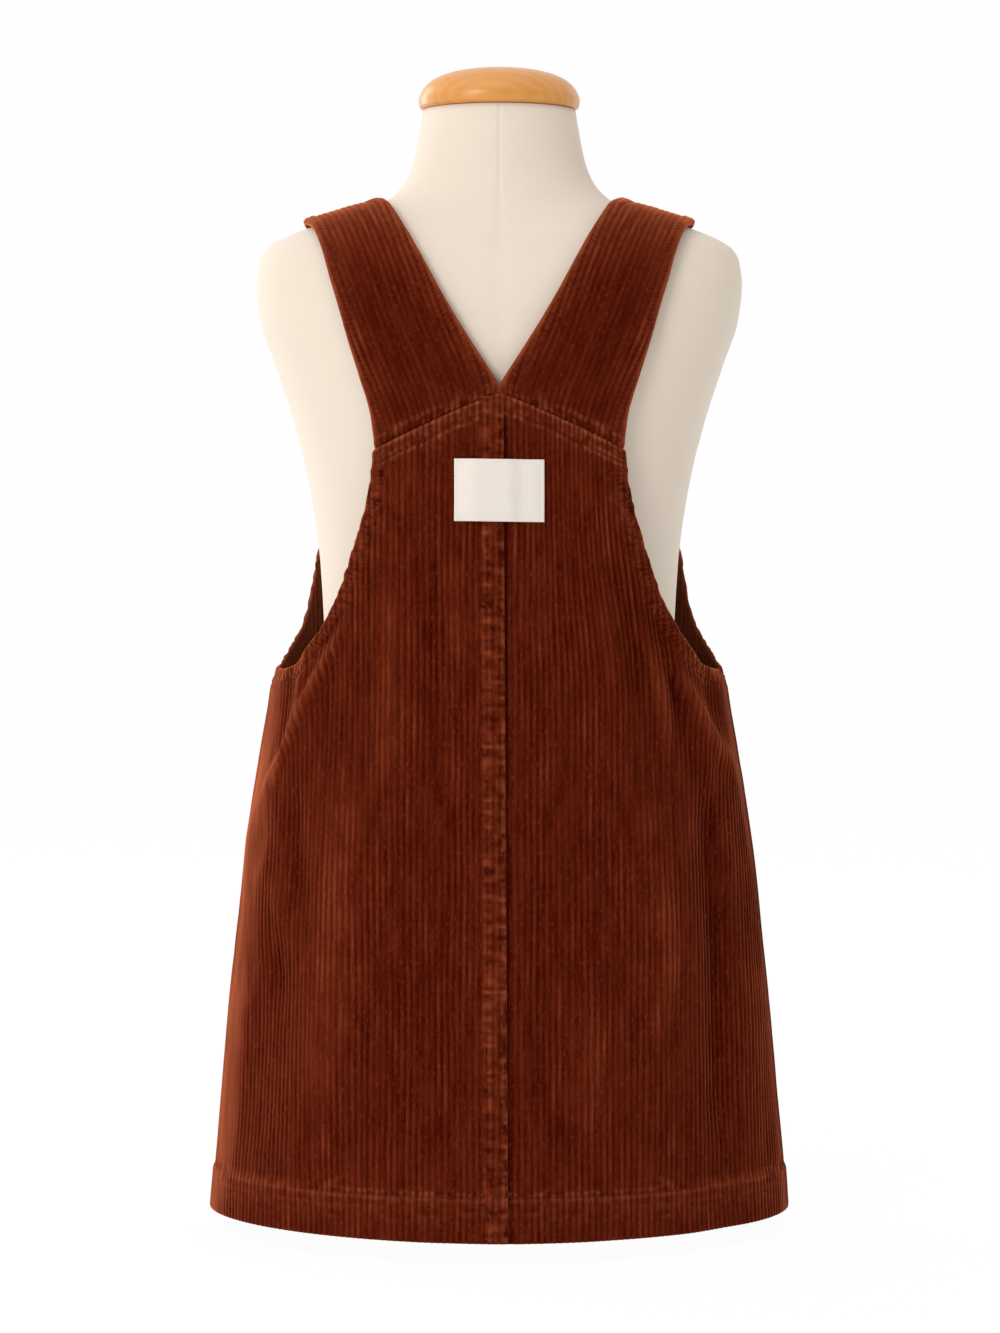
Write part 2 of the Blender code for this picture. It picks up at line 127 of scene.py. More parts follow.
sectionColumns = "height halfWidth centre back front squareness"
garmentSections = table(
    sectionColumns,
    (0.010, 0.1440, 0.0000, 0.1055, 0.1072, 1.85),
    (0.060, 0.1395, 0.0000, 0.1020, 0.1024, 1.87),
    (0.112, 0.1350, 0.0000, 0.0980, 0.0996, 1.90),
    (0.162, 0.1297, 0.0000, 0.0936, 0.0967, 1.93),
    (0.212, 0.1234, 0.0000, 0.0884, 0.0932, 1.97),
    (0.240, 0.1190, 0.0000, 0.0853, 0.0909, 2.00),
    (0.273, 0.1140, 0.0000, 0.0816, 0.0876, 2.05),
    (0.300, 0.1130, 0.0000, 0.0788, 0.0845, 2.10),
    (0.334, 0.1120, 0.0000, 0.0764, 0.0806, 2.15),
    (0.370, 0.1125, 0.0005, 0.0757, 0.0780, 2.20),
    (0.400, 0.1150, 0.0015, 0.0758, 0.0768, 2.25),
    (0.430, 0.1190, 0.0030, 0.0743, 0.0755, 2.30),
    (0.450, 0.1230, 0.0040, 0.0700, 0.0712, 2.30),
    (0.465, 0.1250, 0.0045, 0.0642, 0.0650, 2.30),
    (0.478, 0.1248, 0.0050, 0.0580, 0.0588, 2.25),
    (0.488, 0.1205, 0.0050, 0.0520, 0.0526, 2.20),
    (0.495, 0.1125, 0.0050, 0.0470, 0.0476, 2.15),
    (0.501, 0.0975, 0.0045, 0.0435, 0.0441, 2.10),
    (0.507, 0.0790, 0.0030, 0.0412, 0.0418, 2.10),
    (0.513, 0.0615, 0.0010, 0.0400, 0.0406, 2.05),
    (0.522, 0.0530, -0.0010, 0.0395, 0.0400, 2.00),
    (0.540, 0.0480, -0.0020, 0.0385, 0.0390, 2.00),
)

# soft folds: angles in degrees from the centre back, positive to the wearer's left; depth out (+) or in (-)
folds = table(
    "top bottom angleTop angleBottom halfAngle depth",
    (0.300, 0.195, 48, 76, 8, 0.0020),
    (0.325, 0.230, 17, 15, 7, -0.0016),
    (0.215, 0.050, 36, 40, 8, 0.0022),
    (0.165, 0.070, 57, 60, 8, -0.0024),
    (0.330, 0.240, -34, -41, 6, -0.0016),
    (0.290, 0.190, -47, -60, 6, 0.0018),
    (0.240, 0.030, -57, -52, 8, -0.0026),
    (0.215, 0.050, -36, -33, 9, 0.0018),
    (0.295, 0.180, 118, 104, 8, 0.0020),
    (0.230, 0.030, 128, 132, 9, -0.0024),
    (0.210, 0.040, 150, 152, 9, 0.0018),
    (0.295, 0.170, -122, -106, 8, 0.0018),
    (0.225, 0.040, -131, -127, 9, -0.0024),
    (0.200, 0.035, -155, -158, 9, 0.0016),
)
foldFade = 0.040


def foldOut(angle, height):
    # each fold is a bell across its angle, times a window that fades in and out over foldFade of height
    total = np.zeros(np.broadcast(angle, height).shape)
    for top, bottom, angleTop, angleBottom, halfAngle, depth in zip(*folds.values()):
        share = np.clip((top - height) / (top - bottom), 0, 1)
        middle = np.radians(angleTop + (angleBottom - angleTop) * share)
        window = smoothStep(bottom - foldFade, bottom, height) * smoothStep(top, top - foldFade, height)
        total += depth * window * bell(angle - middle, math.radians(halfAngle))
    return total


def ringPoint(sections, angle, height, out=0.0):
    # a level superellipse: x is half width times sin to the power 2/n, y is depth times cos to the power
    # 2/n, moved out along its level normal; the angle is from the centre back towards the wearer's left
    halfWidth, centre, back, front, n = rowAt(sections, height)
    side, rear = np.sin(angle), np.cos(angle)
    depth = np.where(rear >= 0, back, front)
    x = halfWidth * np.sign(side) * np.abs(side) ** (2 / n)
    y = depth * np.sign(rear) * np.abs(rear) ** (2 / n)
    nx = np.sign(side) * np.abs(side) ** (2 - 2 / n) / halfWidth
    ny = np.sign(rear) * np.abs(rear) ** (2 - 2 / n) / depth
    length = np.hypot(nx, ny)
    return np.stack([x + out * nx / length, centre + y + out * ny / length, height + 0 * x], axis=-1)


# creases: sideways places, positive to the wearer's left; facing is 1 on the back and -1 on the front
creases = table(
    "top bottom xTop xBottom bow halfWidth rise facing",
    (0.240, 0.062, 0.0745, 0.0890, -0.0035, 0.0100, 0.0012, 1),
    (0.330, 0.212, 0.0520, 0.0545, 0.0000, 0.0050, 0.0013, 1),
    (0.345, 0.222, 0.0330, 0.0290, 0.0010, 0.0045, -0.0013, 1),
    (0.338, 0.268, 0.0210, 0.0200, 0.0000, 0.0035, 0.0007, 1),
    (0.150, 0.045, 0.0380, 0.0420, 0.0030, 0.0140, -0.0015, 1),
    (0.236, 0.148, 0.1010, 0.0935, 0.0000, 0.0050, -0.0015, 1),
    (0.187, 0.138, 0.1130, 0.0995, 0.0010, 0.0036, 0.0013, 1),
    (0.157, 0.102, 0.1080, 0.1035, 0.0015, 0.0050, -0.0015, 1),
    (0.312, 0.205, 0.0690, 0.1180, 0.0025, 0.0022, 0.0030, 1),
    (0.302, 0.226, 0.0760, 0.0890, 0.0000, 0.0042, -0.0009, 1),
    (0.300, 0.236, 0.0915, 0.1015, 0.0000, 0.0016, 0.0014, 1),
    (0.296, 0.212, 0.0990, 0.1100, 0.0000, 0.0034, -0.0019, 1),
    (0.300, 0.216, -0.0745, -0.1200, 0.0000, 0.0036, 0.0026, 1),
    (0.300, 0.236, -0.0838, -0.0862, 0.0000, 0.0028, -0.0012, 1),
    (0.300, 0.215, -0.0792, -0.0818, 0.0000, 0.0026, 0.0011, 1),
    (0.325, 0.212, -0.0700, -0.1000, -0.0010, 0.0046, -0.0024, 1),
    (0.236, 0.045, -0.1005, -0.1070, -0.0025, 0.0060, -0.0022, 1),
    (0.312, 0.232, -0.0705, -0.0835, 0.0000, 0.0040, 0.0014, 1),
    (0.226, 0.184, -0.0745, -0.0735, 0.0000, 0.0058, 0.0011, 1),
    (0.188, 0.094, -0.0735, -0.0705, -0.0085, 0.0050, 0.0016, 1),
    (0.336, 0.252, -0.0610, -0.0675, 0.0000, 0.0040, -0.0013, 1),
    (0.326, 0.258, -0.0500, -0.0560, 0.0000, 0.0038, 0.0008, 1),
    (0.205, 0.050, -0.0165, -0.0195, -0.0020, 0.0075, -0.0010, 1),
    (0.225, 0.058, 0.0215, 0.0240, 0.0020, 0.0060, -0.0010, 1),
    (0.135, 0.048, -0.0440, -0.0460, 0.0000, 0.0080, 0.0009, 1),
    (0.292, 0.236, -0.0985, -0.1110, 0.0000, 0.0040, -0.0030, 1),
    (0.325, 0.215, 0.0700, 0.0840, 0.0020, 0.0050, 0.0013, -1),
    (0.240, 0.060, 0.0560, 0.0640, -0.0030, 0.0062, -0.0016, -1),
    (0.200, 0.045, 0.0900, 0.0980, 0.0020, 0.0060, 0.0017, -1),
    (0.170, 0.050, 0.0190, 0.0230, 0.0030, 0.0120, -0.0013, -1),
    (0.300, 0.190, -0.0820, -0.1000, 0.0000, 0.0050, -0.0015, -1),
    (0.250, 0.080, -0.0640, -0.0700, -0.0040, 0.0060, 0.0017, -1),
    (0.215, 0.040, -0.0350, -0.0300, 0.0000, 0.0080, -0.0012, -1),
    (0.190, 0.060, -0.0980, -0.1050, -0.0020, 0.0055, -0.0016, -1),
    (0.330, 0.250, -0.0420, -0.0450, 0.0000, 0.0045, 0.0008, -1),
)
creaseFade = 0.030


def creaseOut(angle, height):
    # as a fold, but narrow, and bowed sideways along its length by a parabola
    halfWidth, n = rowAt(garmentSections, height, "halfWidth", "squareness")
    x = halfWidth * np.sign(np.sin(angle)) * np.abs(np.sin(angle)) ** (2 / n)
    total = 0 * x
    for top, bottom, xTop, xBottom, bow, half, rise, facing in zip(*creases.values()):
        share = np.clip((top - height) / (top - bottom), 0, 1)
        middle = xTop + (xBottom - xTop) * share + bow * 4 * share * (1 - share)
        window = smoothStep(bottom, bottom + creaseFade, height) * smoothStep(top, top - creaseFade, height)
        total = total + rise * window * (np.cos(angle) * facing > 0) * bell(x - middle, half)
    return total


def garmentPoint(angle, height, out=0.0):
    # the garment's section ring, moved out by its folds and creases as well
    return ringPoint(garmentSections, angle, height, out + foldOut(angle, height) + creaseOut(angle, height))


def angleAtX(x, height):
    # the angle from the centre back (or front) at which the garment's section is x from the middle
    halfWidth, n = rowAt(garmentSections, height, "halfWidth", "squareness")
    return np.sign(x) * np.arcsin(np.clip(np.abs(x) / halfWidth, 0, 1) ** (n / 2))


class ArcMap:
    # turns distance round the garment from its centre back (or centre front)
    # into an angle, and back again: a lattice of levels by angles holds the
    # running length of the level sections, added up from their chords
    def __init__(self, isBack):
        self.levels = np.linspace(0.008, 0.430, 170)
        self.angles = np.linspace(0, math.pi / 2, 600)
        fromBack = self.angles if isBack else math.pi - self.angles
        ring = ringPoint(garmentSections, fromBack[None, :], self.levels[:, None])
        step = np.linalg.norm(np.diff(ring, axis=1), axis=-1)
        self.arcs = np.concatenate((np.zeros((len(self.levels), 1)), np.cumsum(step, axis=1)), axis=1)
        self.places = np.linspace(0, self.arcs.max(), 900)
        self.back = np.stack([np.interp(self.places, arc, self.angles) for arc in self.arcs])

    def blend(self, grid, across, spread, height):
        # bilinear reading of a lattice whose rows are the
        # levels and whose columns spread evenly over across
        lowest, step = self.levels[0], self.levels[1] - self.levels[0]
        j = (np.clip(height, lowest, self.levels[-1]) - lowest) / step
        i = np.clip(across / spread, 0, 1) * (grid.shape[1] - 1)
        j0 = np.clip(j.astype(int), 0, grid.shape[0] - 2)
        i0 = np.clip(i.astype(int), 0, grid.shape[1] - 2)
        t, s = j - j0, i - i0
        low = grid[j0, i0] * (1 - s) + grid[j0, i0 + 1] * s
        high = grid[j0 + 1, i0] * (1 - s) + grid[j0 + 1, i0 + 1] * s
        return low * (1 - t) + high * t

    def angle(self, arc, height):
        # the angle at a distance from the middle
        return self.blend(self.back, arc, self.places[-1], height)

    def arc(self, angle, height):
        # the distance at an angle from the middle
        return self.blend(self.arcs, angle, math.pi / 2, height)


def toScene(name, data):
    # a new object with the data, linked to the scene
    made = bpy.data.objects.new(name, data)
    bpy.context.scene.collection.objects.link(made)
    return made


def putMesh(name, points, quads, materials, uv=None, values=None, slots=None):
    # points (n, 3), quads (m, 4) and per-point uv and values go into a mesh as whole arrays
    mesh = bpy.data.meshes.new(name)
    mesh.vertices.add(len(points))
    mesh.vertices.foreach_set("co", np.ascontiguousarray(points, dtype=np.float32).ravel())
    mesh.loops.add(quads.size)
    mesh.loops.foreach_set("vertex_index", quads.astype(np.int32).ravel())
    mesh.polygons.add(len(quads))
    mesh.polygons.foreach_set("loop_start", np.arange(0, quads.size, 4, dtype=np.int32))
    if slots is not None:
        mesh.polygons.foreach_set("material_index", slots.astype(np.int32))
    mesh.update(calc_edges=True)
    if uv is not None:
        layer = mesh.uv_layers.new(name="cloth")
        layer.data.foreach_set("uv", uv[quads.ravel()].astype(np.float32).ravel())
    for key, value in (values or {}).items():
        layer = mesh.attributes.new(key, "FLOAT", "POINT")
        layer.data.foreach_set("value", value.astype(np.float32).ravel())
    for material in materials:
        mesh.materials.append(material)
    mesh.polygons.foreach_set("use_smooth", np.full(len(quads), True))
    return toScene(name, mesh)


def gridQuads(rows, columns, closed=False):
    # quads of a lattice, rows upwards and columns clockwise from above, so that they face outwards
    j, i = np.meshgrid(np.arange(rows - 1), np.arange(columns if closed else columns - 1), indexing="ij")
    low, high, right = j * columns, (j + 1) * columns, (i + 1) % columns
    return np.stack([low + i, high + i, high + right, low + right], -1).reshape(-1, 4)


def shell(name, outer, inner, uv, values, materials):
    # a closed thin sheet: the outer lattice, the inner one
    # turned over, and a rim of quads round their edges
    rows, columns = outer.shape[:2]
    count = rows * columns
    front = gridQuads(rows, columns)
    index = np.arange(count).reshape(rows, columns)
    loop = np.concatenate((index[0, :-1], index[:-1, -1], index[-1, :0:-1], index[:0:-1, 0]))
    ahead = np.roll(loop, -1)
    rim = np.stack([loop, ahead, ahead + count, loop + count], -1)
    quads = np.concatenate((front, front[:, ::-1] + count, rim))
    slots = np.concatenate((np.zeros(len(front)), np.ones(len(front)), np.zeros(len(rim))))
    points = np.concatenate((outer.reshape(-1, 3), inner.reshape(-1, 3)))
    values = {key: value.ravel() for key, value in values.items()}
    both = {key: np.concatenate((value, value * (key != "ridged"))) for key, value in values.items()}
    return putMesh(name, points, quads, materials, np.tile(uv.reshape(-1, 2), (2, 1)), both, slots)


def gridNormals(points):
    # outward unit normals of a lattice: its upward differences crossed with its clockwise ones
    return unit(np.cross(np.gradient(points, axis=0), np.gradient(points, axis=1)))


def putRings(name, points, sides, materials):
    # a closed surface through level rings, from the lowest: the points
    # end with the two ends' middles, which take a fan of triangles each
    count = len(points) - 2
    i = np.arange(sides)
    j = (i + 1) % sides
    low = np.stack([i, j, np.full(sides, count)], -1)
    high = np.stack([j + count - sides, i + count - sides, np.full(sides, count + 1)], -1)
    quads = gridQuads(count // sides, sides, closed=True)
    mesh = bpy.data.meshes.new(name)
    mesh.from_pydata(points.tolist(), [], quads.tolist() + low.tolist() + high.tolist())
    for material in materials:
        mesh.materials.append(material)
    mesh.shade_smooth()
    return toScene(name, mesh)


def turned(name, profile, sides, materials, centre, normal):
    # a profile of (radius, height) rows, from the bottom's
    # middle round to the top's middle, turned about a normal
    profile = np.array(profile)
    angle = np.linspace(0, 2 * math.pi, sides, endpoint=False)
    ring = profile[1:-1]
    rings = np.stack([ring[:, :1] * np.sin(angle), ring[:, :1] * np.cos(angle), ring[:, 1:] + 0 * angle], -1)
    ends = np.array([[0, 0, profile[0, 1]], [0, 0, profile[-1, 1]]])
    points = np.concatenate((rings.reshape(-1, 3), ends)) @ turnTo(normal).T + np.array(centre)
    return putRings(name, points, sides, materials)


def turnTo(normal):
    # the rotation matrix that takes +Z to a normal
    return np.array(Vector(normal).to_track_quat("Z", "Y").to_matrix())


def place(piece, slotName, *nodes):
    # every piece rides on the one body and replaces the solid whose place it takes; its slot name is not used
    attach(piece, "root")
    if nodes:
        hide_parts(*nodes)


def newTree(name, sockets):
    # an empty shader group with named inputs and outputs: (name, "INPUT" or "OUTPUT", socket type, default)
    tree = bpy.data.node_groups.new(name, "ShaderNodeTree")
    for label, way, socketType, value in sockets:
        socket = tree.interface.new_socket(name=label, in_out=way, socket_type="NodeSocket" + socketType)
        if value is not None:
            socket.default_value = value
    return tree


class Nodes:
    # lays nodes in a tree: each call makes one, sets it up and links its inputs
    def __init__(self, tree):
        self.tree = tree
        self.count = 0

    def add(self, kind, inputs=None, **settings):
        # one node: first its settings, then its inputs, each a link or a constant on the socket
        made = self.tree.nodes.new(kind)
        made.location = (180 * (self.count % 8), -260 * (self.count // 8))
        self.count += 1
        for key, value in settings.items():
            setattr(made, key, value)
        for key, value in (inputs or {}).items():
            if isinstance(value, bpy.types.NodeSocket):
                self.tree.links.new(value, made.inputs[key])
            else:
                made.inputs[key].default_value = value
        return made

    def link(self, output, shader, socket):
        # from an output to a node's named input
        self.tree.links.new(output, shader.inputs[socket])

    def math(self, operation, *values, clamp=False):
        # one operation on numbers or sockets
        made = self.add("ShaderNodeMath", dict(enumerate(values)), operation=operation, use_clamp=clamp)
        return made.outputs[0]

    def times(self, first, second, clamp=False):
        # the product
        return self.math("MULTIPLY", first, second, clamp=clamp)

    def plus(self, first, second):
        # the sum
        return self.math("ADD", first, second)

    def minus(self, first, second, clamp=False):
        # the first less the second
        return self.math("SUBTRACT", first, second, clamp=clamp)

    def scaled(self, value, factor, more, clamp=False):
        # the value times a factor, and more added
        return self.math("MULTIPLY_ADD", value, factor, more, clamp=clamp)

    def mix(self, share, first, second):
        # from the first colour, at a share of 0, to the second
        made = self.add("ShaderNodeMix", data_type="RGBA", clamp_factor=True)
        for key, value in (("Factor", share), ("A", first), ("B", second)):
            kind = "VALUE" if key == "Factor" else "RGBA"
            socket = next(s for s in made.inputs if s.name == key and s.type == kind)
            if isinstance(value, bpy.types.NodeSocket):
                self.tree.links.new(value, socket)
            else:
                socket.default_value = value
        return next(s for s in made.outputs if s.type == "RGBA")

    def noise(self, vector, scale, detail=1.0, rough=0.5):
        # soft noise from 0 to 1 on a place that is first stretched by a scale for each axis
        place = self.add("ShaderNodeMapping", {"Vector": vector, "Scale": scale}).outputs[0]
        inputs = {"Vector": place, "Scale": 1.0, "Detail": detail, "Roughness": rough}
        return self.add("ShaderNodeTexNoise", inputs).outputs["Fac"]

    def part(self, vector, axis):
        # a vector's X, Y or Z
        return self.add("ShaderNodeSeparateXYZ", {"Vector": vector}).outputs[axis]

    def attribute(self, name):
        # a value that the mesh holds for each point
        return self.add("ShaderNodeAttribute", attribute_name=name).outputs["Fac"]

    def bump(self, height, distance, strength):
        # the normal, tilted by the slope of a height times a distance
        inputs = {"Height": height, "Distance": distance, "Strength": strength}
        return self.add("ShaderNodeBump", inputs).outputs["Normal"]

    def clothPlace(self):
        # the place on the flat cloth, in metres
        return self.add("ShaderNodeUVMap", uv_map="cloth").outputs["UV"]


waleLook = {  # patterns of the pile, each as its fineness across and along the wales, in patches a metre
    "contrast": (80.0, 16.0, 1.0),
    "streak": (330.0, 42.0, 1.0),
    "fleck": (900.0, 260.0, 1.0),
    "mottle": (95.0, 60.0, 1.0),
    "patch": (24.0, 9.0, 1.0),
    "spark": (1200.0, 330.0, 1.0),
    "fibre": (2600.0, 1400.0, 1.0),
    "bent": (170.0, 90.0, 1.0),  # and of what a seam does, along it and away from it
    "faded": (110.0, 60.0, 1.0),
    "blotch": (400.0, 240.0, 1.0),
    "ridgeLength": 0.0024,  # from one ridge of a seam's puckers to the next
    "beadLength": 0.0022,
    "ridgeHighlight": 0.36,
    "ridgeRise": 0.38,
    "beadRise": 0.8,
    "sparkShare": 0.30,
    "hollowShadeShare": 0.38,
}


def makeWaleGroup():
    # the lift of the pile is 1 on a wale's crown and less in the groove beside it, whose darker colour is
    # partly
    # painted shade: the crown's power curve across each wale, times a contrast, plus streaks, patches and the
    # given nap value with its painted light and shade; beside a seam, sines along it make ridges that get a
    # painted highlight, and beads of rubbed crowns with painted shade in the hollows between them, bent and
    # faded by noise
    look = waleLook
    tree = newTree("waleGroup", (
        ("Place", "INPUT", "Vector", None),
        ("Seam Place", "INPUT", "Vector", None),
        ("Pressed", "INPUT", "Float", 0.0),
        ("Naplight", "INPUT", "Float", 0.0),
        ("Worn", "INPUT", "Float", 0.0),
        ("Ridged", "INPUT", "Float", 0.0),
        ("Wale", "INPUT", "Float", 0.003),
        ("Crown", "INPUT", "Color", (0.20, 0.04, 0.015, 1)),
        ("Groove", "INPUT", "Color", (0.03, 0.004, 0.001, 1)),
        ("Rubbed", "INPUT", "Color", (0.33, 0.09, 0.04, 1)),
        ("Colour", "OUTPUT", "Color", None),
        ("Height", "OUTPUT", "Float", None),
    ))
    n = Nodes(tree)
    given = n.add("NodeGroupInput").outputs
    place, seamPlace = given["Place"], given["Seam Place"]
    phase = n.math("FRACT", n.math("DIVIDE", n.part(place, "X"), given["Wale"]))
    away = n.math("ABSOLUTE", n.scaled(phase, 2.0, -1.0))
    crown = n.minus(1.0, n.math("POWER", away, 1.5))
    contrast = n.scaled(n.noise(place, look["contrast"], 2.0), 2.7, -0.70, clamp=True)
    contrast = n.times(contrast, n.minus(1.0, given["Worn"]))
    evened = n.scaled(n.minus(crown, 0.50), contrast, 0.55)
    streak = n.noise(place, look["streak"], 2.0)
    fleck = n.noise(place, look["fleck"], 3.0, 0.6)
    mottle = n.noise(place, look["mottle"], 3.0, 0.6)
    patch = n.noise(place, look["patch"], 2.0)
    spark = n.scaled(n.noise(place, look["spark"]), 6.0, -3.6, clamp=True)
    rough = n.scaled(given["Worn"], -0.75, 1.0, clamp=True)
    lift = n.times(evened, n.scaled(streak, 2.2, -0.20))
    for noise, share in ((fleck, 1.0), (mottle, 0.75), (patch, 0.5)):
        lift = n.plus(lift, n.times(n.scaled(noise, share, -share / 2), rough))
    run, lean = n.part(seamPlace, "X"), n.part(seamPlace, "Y")
    bent = n.noise(seamPlace, look["bent"])
    turn = n.scaled(n.scaled(lean, 0.35, run), 2 * math.pi / look["ridgeLength"], n.times(bent, 9.0))
    faded = n.scaled(n.noise(seamPlace, look["faded"]), 2.6, -0.5, clamp=True)
    ridge = n.times(n.math("SINE", turn), n.times(faded, given["Ridged"]))
    # painted highlight on the ridges beside a seam, and the given nap value with its painted light and shade
    lift = n.plus(lift, n.scaled(ridge, look["ridgeHighlight"], given["Naplight"]))
    colour = n.mix(n.math("MAXIMUM", lift, 0.0), given["Groove"], given["Crown"])
    over = n.times(n.minus(lift, 1.0, clamp=True), 0.8)
    colour = n.mix(n.math("MAXIMUM", over, n.times(spark, look["sparkShare"])), colour, given["Rubbed"])
    turn = n.scaled(run, 2 * math.pi / look["beadLength"], n.times(bent, 14.0))
    blotch = n.noise(seamPlace, look["blotch"])
    pucker = n.scaled(n.math("SINE", turn), 0.22, n.scaled(blotch, 3.4, -1.2), clamp=True)
    bead = n.times(pucker, n.scaled(crown, 0.95, 0.05))
    rub = n.times(given["Pressed"], n.scaled(bead, 1.05, 0.05), clamp=True)
    colour = n.mix(rub, colour, given["Rubbed"])
    # painted shade in the hollows between the beads
    hollowShade = n.times(n.minus(1.0, pucker), given["Pressed"])
    colour = n.mix(n.times(hollowShade, look["hollowShadeShare"]), colour, given["Groove"])
    height = n.plus(n.times(n.noise(place, look["fibre"], 2.0), 0.12), n.times(fleck, 0.18))
    height = n.plus(height, n.times(bead, n.times(given["Pressed"], look["beadRise"])))
    height = n.scaled(ridge, look["ridgeRise"], n.times(height, rough))
    out = n.add("NodeGroupOutput")
    n.link(colour, out, "Colour")
    n.link(height, out, "Height")
    return tree


def makeWeaveGroup():
    # plain weave: threads over and under each other as a
    # checker of sines across and along; mask from 0 to 1
    tree = newTree("weaveGroup", (
        ("Place", "INPUT", "Vector", None),
        ("Threads", "INPUT", "Float", 1800.0),
        ("Mask", "OUTPUT", "Float", None),
        ("Mottle", "OUTPUT", "Float", None),
    ))
    n = Nodes(tree)
    given = n.add("NodeGroupInput").outputs
    turn = n.times(given["Threads"], math.pi)
    warp, weft = (n.math("SINE", n.times(n.part(given["Place"], axis), turn)) for axis in "XZ")
    mask = n.scaled(n.times(warp, weft), 0.5, 0.5)
    out = n.add("NodeGroupOutput")
    n.link(mask, out, "Mask")
    n.link(n.noise(given["Place"], (90.0, 90.0, 90.0), 3.0), out, "Mottle")
    return tree


waleGroup = makeWaleGroup()
weaveGroup = makeWeaveGroup()


def newMaterial(name, roughness, **constants):
    # a Principled material whose even values are set on the shader's own sockets
    material = bpy.data.materials.new(name)
    material.use_nodes = True
    nodes = material.node_tree.nodes
    nodes.clear()
    n = Nodes(material.node_tree)
    shader = n.add("ShaderNodeBsdfPrincipled", {"Roughness": roughness})
    for label, value in constants.items():
        shader.inputs[label.replace("_", " ")].default_value = value
    n.add("ShaderNodeOutputMaterial", {"Surface": shader.outputs["BSDF"]})
    return material, n, shader


waleWidth = 0.00305  # one wale and the groove beside it
corduroyLook = {
    "crown": (0.115, 0.0145, 0.0042, 1),
    # the groove's colour: the ground between the wales, darkened further by painted shade
    "groove": (0.044, 0.0022, 0.0002, 1),
    # the lightest pile: rubbed crowns at seams, and painted highlights where the nap value lifts past 1
    "rubbed": (0.262, 0.0580, 0.0220, 1),
    "sheen": 1.0,
    "sheenTint": (1.0, 0.27, 0.11, 1),
    "sheenSpread": 0.30,
    "pile": 0.00055,
}
wrongSideLook = {
    **corduroyLook,
    "crown": (0.165, 0.0390, 0.0175, 1),
    "groove": (0.070, 0.0140, 0.0055, 1),
    "rubbed": (0.230, 0.0600, 0.0280, 1),
    "sheen": 0.4,
}


def makeCorduroy(name, look):
    # the wales' colour and height, from the cloth's flat places and its pile's values, which carry painted
    # light and shade; where painted shade marks the shaded side's outline the sheen goes, by one less its
    # value
    sheen = {"Sheen_Roughness": look["sheenSpread"], "Sheen_Tint": look["sheenTint"]}
    material, n, shader = newMaterial(name, 0.95, Specular_IOR_Level=0.02, **sheen)
    seamPlace = n.add("ShaderNodeCombineXYZ", {"X": n.attribute("seamRun"), "Y": n.attribute("seamAway")})
    inputs = {"Place": n.clothPlace(), "Seam Place": seamPlace.outputs[0], "Wale": waleWidth}
    # the nap value holds the pile's own random nap together with painted highlights and painted shade
    for key in ("pressed", "naplight", "worn", "ridged"):
        inputs[key.capitalize()] = n.attribute(key)
    for key in ("crown", "groove", "rubbed"):
        inputs[key.capitalize()] = look[key]
    wales = n.add("ShaderNodeGroup", inputs, node_tree=waleGroup)
    n.link(wales.outputs["Colour"], shader, "Base Color")
    n.link(n.bump(wales.outputs["Height"], look["pile"], 0.7), shader, "Normal")
    n.link(n.scaled(n.attribute("shadeWithoutSheen"), -look["sheen"], look["sheen"]), shader, "Sheen Weight")
    return material


coverLook = {"colour": (0.80, 0.69, 0.575), "shade": 0.93, "threads": 1500.0, "bump": 0.15, "sheen": 0.1}
twillLook = {"colour": (0.82, 0.745, 0.665), "shade": 0.90, "threads": 1400.0, "bump": 0.35, "sheen": 0.0}


def makeWoven(name, look, flat):
    # cloth without pile: the weave's hollows get a little painted
    # shade, and it gives a fine bump; flat cloth reads its own map
    material, n, shader = newMaterial(
        name, 0.85, Specular_IOR_Level=0.25, Sheen_Weight=look["sheen"], Sheen_Roughness=0.5
    )
    if flat:
        upright = {"Vector": n.clothPlace(), "Rotation": (math.pi / 2, 0, 0)}
        place = n.add("ShaderNodeMapping", upright).outputs[0]
    else:
        place = n.add("ShaderNodeTexCoord").outputs["Object"]
    weave = n.add("ShaderNodeGroup", {"Place": place, "Threads": look["threads"]}, node_tree=weaveGroup)
    dark = tuple(c * look["shade"] for c in look["colour"]) + (1,)
    share = n.scaled(weave.outputs["Mottle"], 0.5, n.times(weave.outputs["Mask"], 0.5))
    n.link(n.mix(share, dark, (*look["colour"], 1)), shader, "Base Color")
    n.link(n.bump(weave.outputs["Mask"], 0.0001, look["bump"]), shader, "Normal")
    return material


woodLook = {
    "dark": (0.62, 0.235, 0.036, 1),
    "light": (0.82, 0.380, 0.085, 1),
    "axis": {"Location": (0.03, 0.012, -0.56), "Rotation": (0.1, 0.0, 0.2), "Scale": (0.25, 1.0, 1.6)},
    "rings": {"Scale": 70.0, "Distortion": 5.0, "Detail": 3.0, "Detail Scale": 1.5},
    "grain": (180.0, 2400.0, 2400.0),
}


def makeWood(name):
    # turned wood: rings about an axis tilted off the cap's
    # own, drawn out along the grain, under clear varnish
    varnish = {"Coat_Weight": 0.45, "Coat_Roughness": 0.26}
    material, n, shader = newMaterial(name, 0.45, Specular_IOR_Level=0.4, **varnish)
    place = n.add("ShaderNodeTexCoord").outputs["Object"]
    place = n.add("ShaderNodeMapping", {"Vector": place, **woodLook["axis"]}).outputs[0]
    rings = {"Vector": place, **woodLook["rings"]}
    rings = n.add("ShaderNodeTexWave", rings, wave_type="BANDS", bands_direction="Y").outputs["Fac"]
    share = n.scaled(rings, 0.20, n.times(n.noise(place, woodLook["grain"], 3.0), 0.45))
    n.link(n.mix(share, woodLook["dark"], woodLook["light"]), shader, "Base Color")
    return material


def makePlain(name, colour, roughness, **constants):
    # one even colour
    material, _, shader = newMaterial(name, roughness, **constants)
    shader.inputs["Base Color"].default_value = (*colour, 1)
    return material


